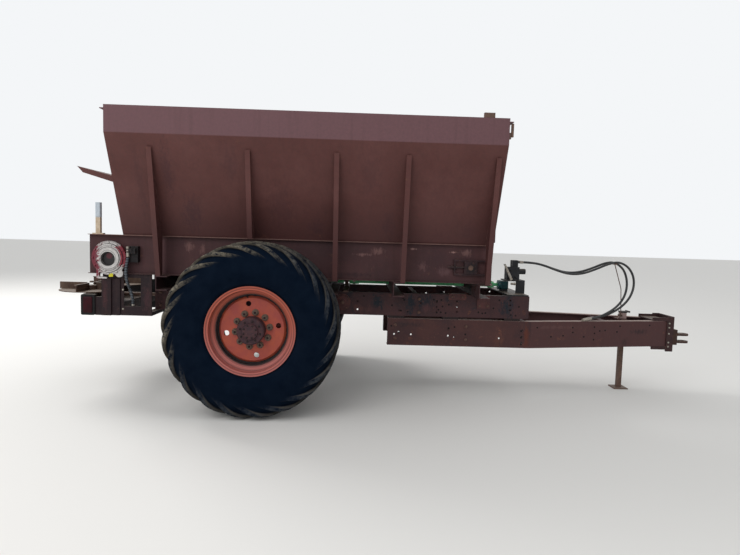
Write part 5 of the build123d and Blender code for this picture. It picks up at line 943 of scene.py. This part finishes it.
# Tail lamps: black rubber housings with dark red ribbed lenses, dull with dust
lens_plastic, add, place = new_material("dusty_red_acrylic_lens")
ribs = add("TexWave", {"Vector": place, "Scale": BANDS_SCALE / 12}, bands_direction="X")
skin, _, film = flecked(add, place, "#330610", "#1e0a0e", 30, 0.4, 0.7, 0.6, Detail=7.0)
rough = add("MapRange", {"Value": film, "To Min": 0.25, "To Max": 0.6})
finish(add, {"Base Color": skin, "Roughness": rough, "Specular IOR Level": 0.15}, ribs, strength=0.4,
       depth=0.002)
lamp_rubber = enamel("black_rubber_lamp_housing", "#0b0a0b", "#131113", patch_mm=60.0, rust=0.0, dust=0.3,
                     matt=0.7)
dress(lamp_rubber, "tail_lamps")
LENS_HALF_WIDTH, LENS_HALF_HEIGHT, LENS_CORNER = 48, 86, 12
LENS_X, LENS_BACK, LENS_Z = -1846.0, 784.0, 967.0
lens_outline = []
for quarter, way, up in ((0, 1, 1), (1, -1, 1), (2, -1, -1), (3, 1, -1)):
    corner = np.linspace(0, math.pi / 2, 5) + quarter * math.pi / 2
    lens_outline += list(zip(way * (LENS_HALF_WIDTH - LENS_CORNER) + LENS_CORNER * np.cos(corner),
                             up * (LENS_HALF_HEIGHT - LENS_CORNER) + LENS_CORNER * np.sin(corner)))
lens, quads = stacked(lens_outline, [(0, 0), (1, 0), (1, 5), (0.97, 8), (0.86, 10), (0, 10.5)])
lenses = [(np.stack([lens[:, 0] + LENS_X, side * (lens[:, 2] + LENS_BACK), lens[:, 1] + LENS_Z], axis=1),
           quads[:, ::-side]) for side in (-1, 1)]
build("tail_lamp_lenses", lenses, lens_plastic)

# Driveline: tube in green enamel, chipped, painted paler than the enamel as painted light for the sun on it,
# with steel yokes; pillow block in the middle
SHAFT_Z, CROSS_HALF = 1236.0, 24.0
# The green is painted paler than the paint, as painted sunlight on the tube.
sunlit_green_enamel = enamel("chipped_green_enamel_painted_sunlit", "#4fb873", "#7ad69a", patch_mm=200.0, rust=0.35, bare="#5a4a38",
                      dust=0.3, matt=0.5)
dress(sunlit_green_enamel, "driveline_shaft")
cup = turned([(0, 0), (15, 0), (17, 3), (17, 17), (14, 20), (0, 20)], 20)
cups = [laid(cup, (x, CROSS_HALF * y, SHAFT_Z + CROSS_HALF * z), (0, y, z)) for x in (962.0, 2615.0)
        for y, z in ((-1, 0), (1, 0), (0, -1), (0, 1))]
build("universal_joints", cups, plated_steel, "driveline")

# Pump group: teal cast pump, black bracket and valve block with steel plugs
teal_iron = enamel("teal_pump_enamel", "#1d4b50", "#3a7278", patch_mm=60.0, bare="#6a5a4a", matt=0.5)
black_enamel = enamel("black_bracket_enamel", "#17181b", "#26282c", patch_mm=120.0, rust=0.3, bare="#4a3a34",
                      matt=0.5)
dress(teal_iron, "pump")
dress(black_enamel, "pump_bracket", "valve_block")
plugs = hex_bolts([(2800, -205.0, 1350), (2860, -205.0, 1350), (2800, -205.0, 1430)], (0, -1, 0), 24.0, 9.0)
plugs += hex_bolts([(2732.0, y, SHAFT_Z) for y in (-60, 60)], (-1, 0, 0), 19.0, 8.0)
build("valve_plugs", plugs, black_enamel)

# Strap and stub on the bracket: scraped silver strap along the slanted bar and a plated pipe stub
bar = np.array([(2700.0, 1500.0), (2724.0, 1500.0), (2816.0, 1320.0), (2792.0, 1300.0)])
bar_x, bar_z = bar.mean(axis=0)
flat_bar, quads = stacked((bar - (bar_x, bar_z)) * 0.96, [(0, 0), (1, 0), (1, 1.2), (0.9, 2.0), (0, 2.0)])
strap = np.stack([flat_bar[:, 0] + bar_x, -255.8 - flat_bar[:, 2], flat_bar[:, 1] + bar_z], axis=1)
stub = turned([(0, 0), (13, 0), (13, 34), (16, 36), (16, 54), (12, 58), (0, 58)], 24)
build("bracket_strap", [(strap, quads), laid(stub, (2792.0, -262.0, 1272.0), (1, 0, 0))], plated_steel)

# Stand: square jack leg in its sleeve, brown with rust, and a crank; thin rod that holds the hoses
dress(tongue_enamel, "jack_tube")
dress(rod_steel, "jack_leg", "hose_holder")
dress(black_enamel, "jack_crank")
dress(plated_steel, "hose_couplings")

# Marker post: folded sheet post, pale blue-white at the top and tan below, on the right sill
post_plastic = enamel("pale_marker_post", "#b9a48c", "#c9b8a2", patch_mm=60.0, rust=0.1, bare="#8a705a",
                      zones=((2, 1.885, 1.90, "#b9c6d2"),), dust=0.2, matt=0.55)
dress(post_plastic, "marker_post")
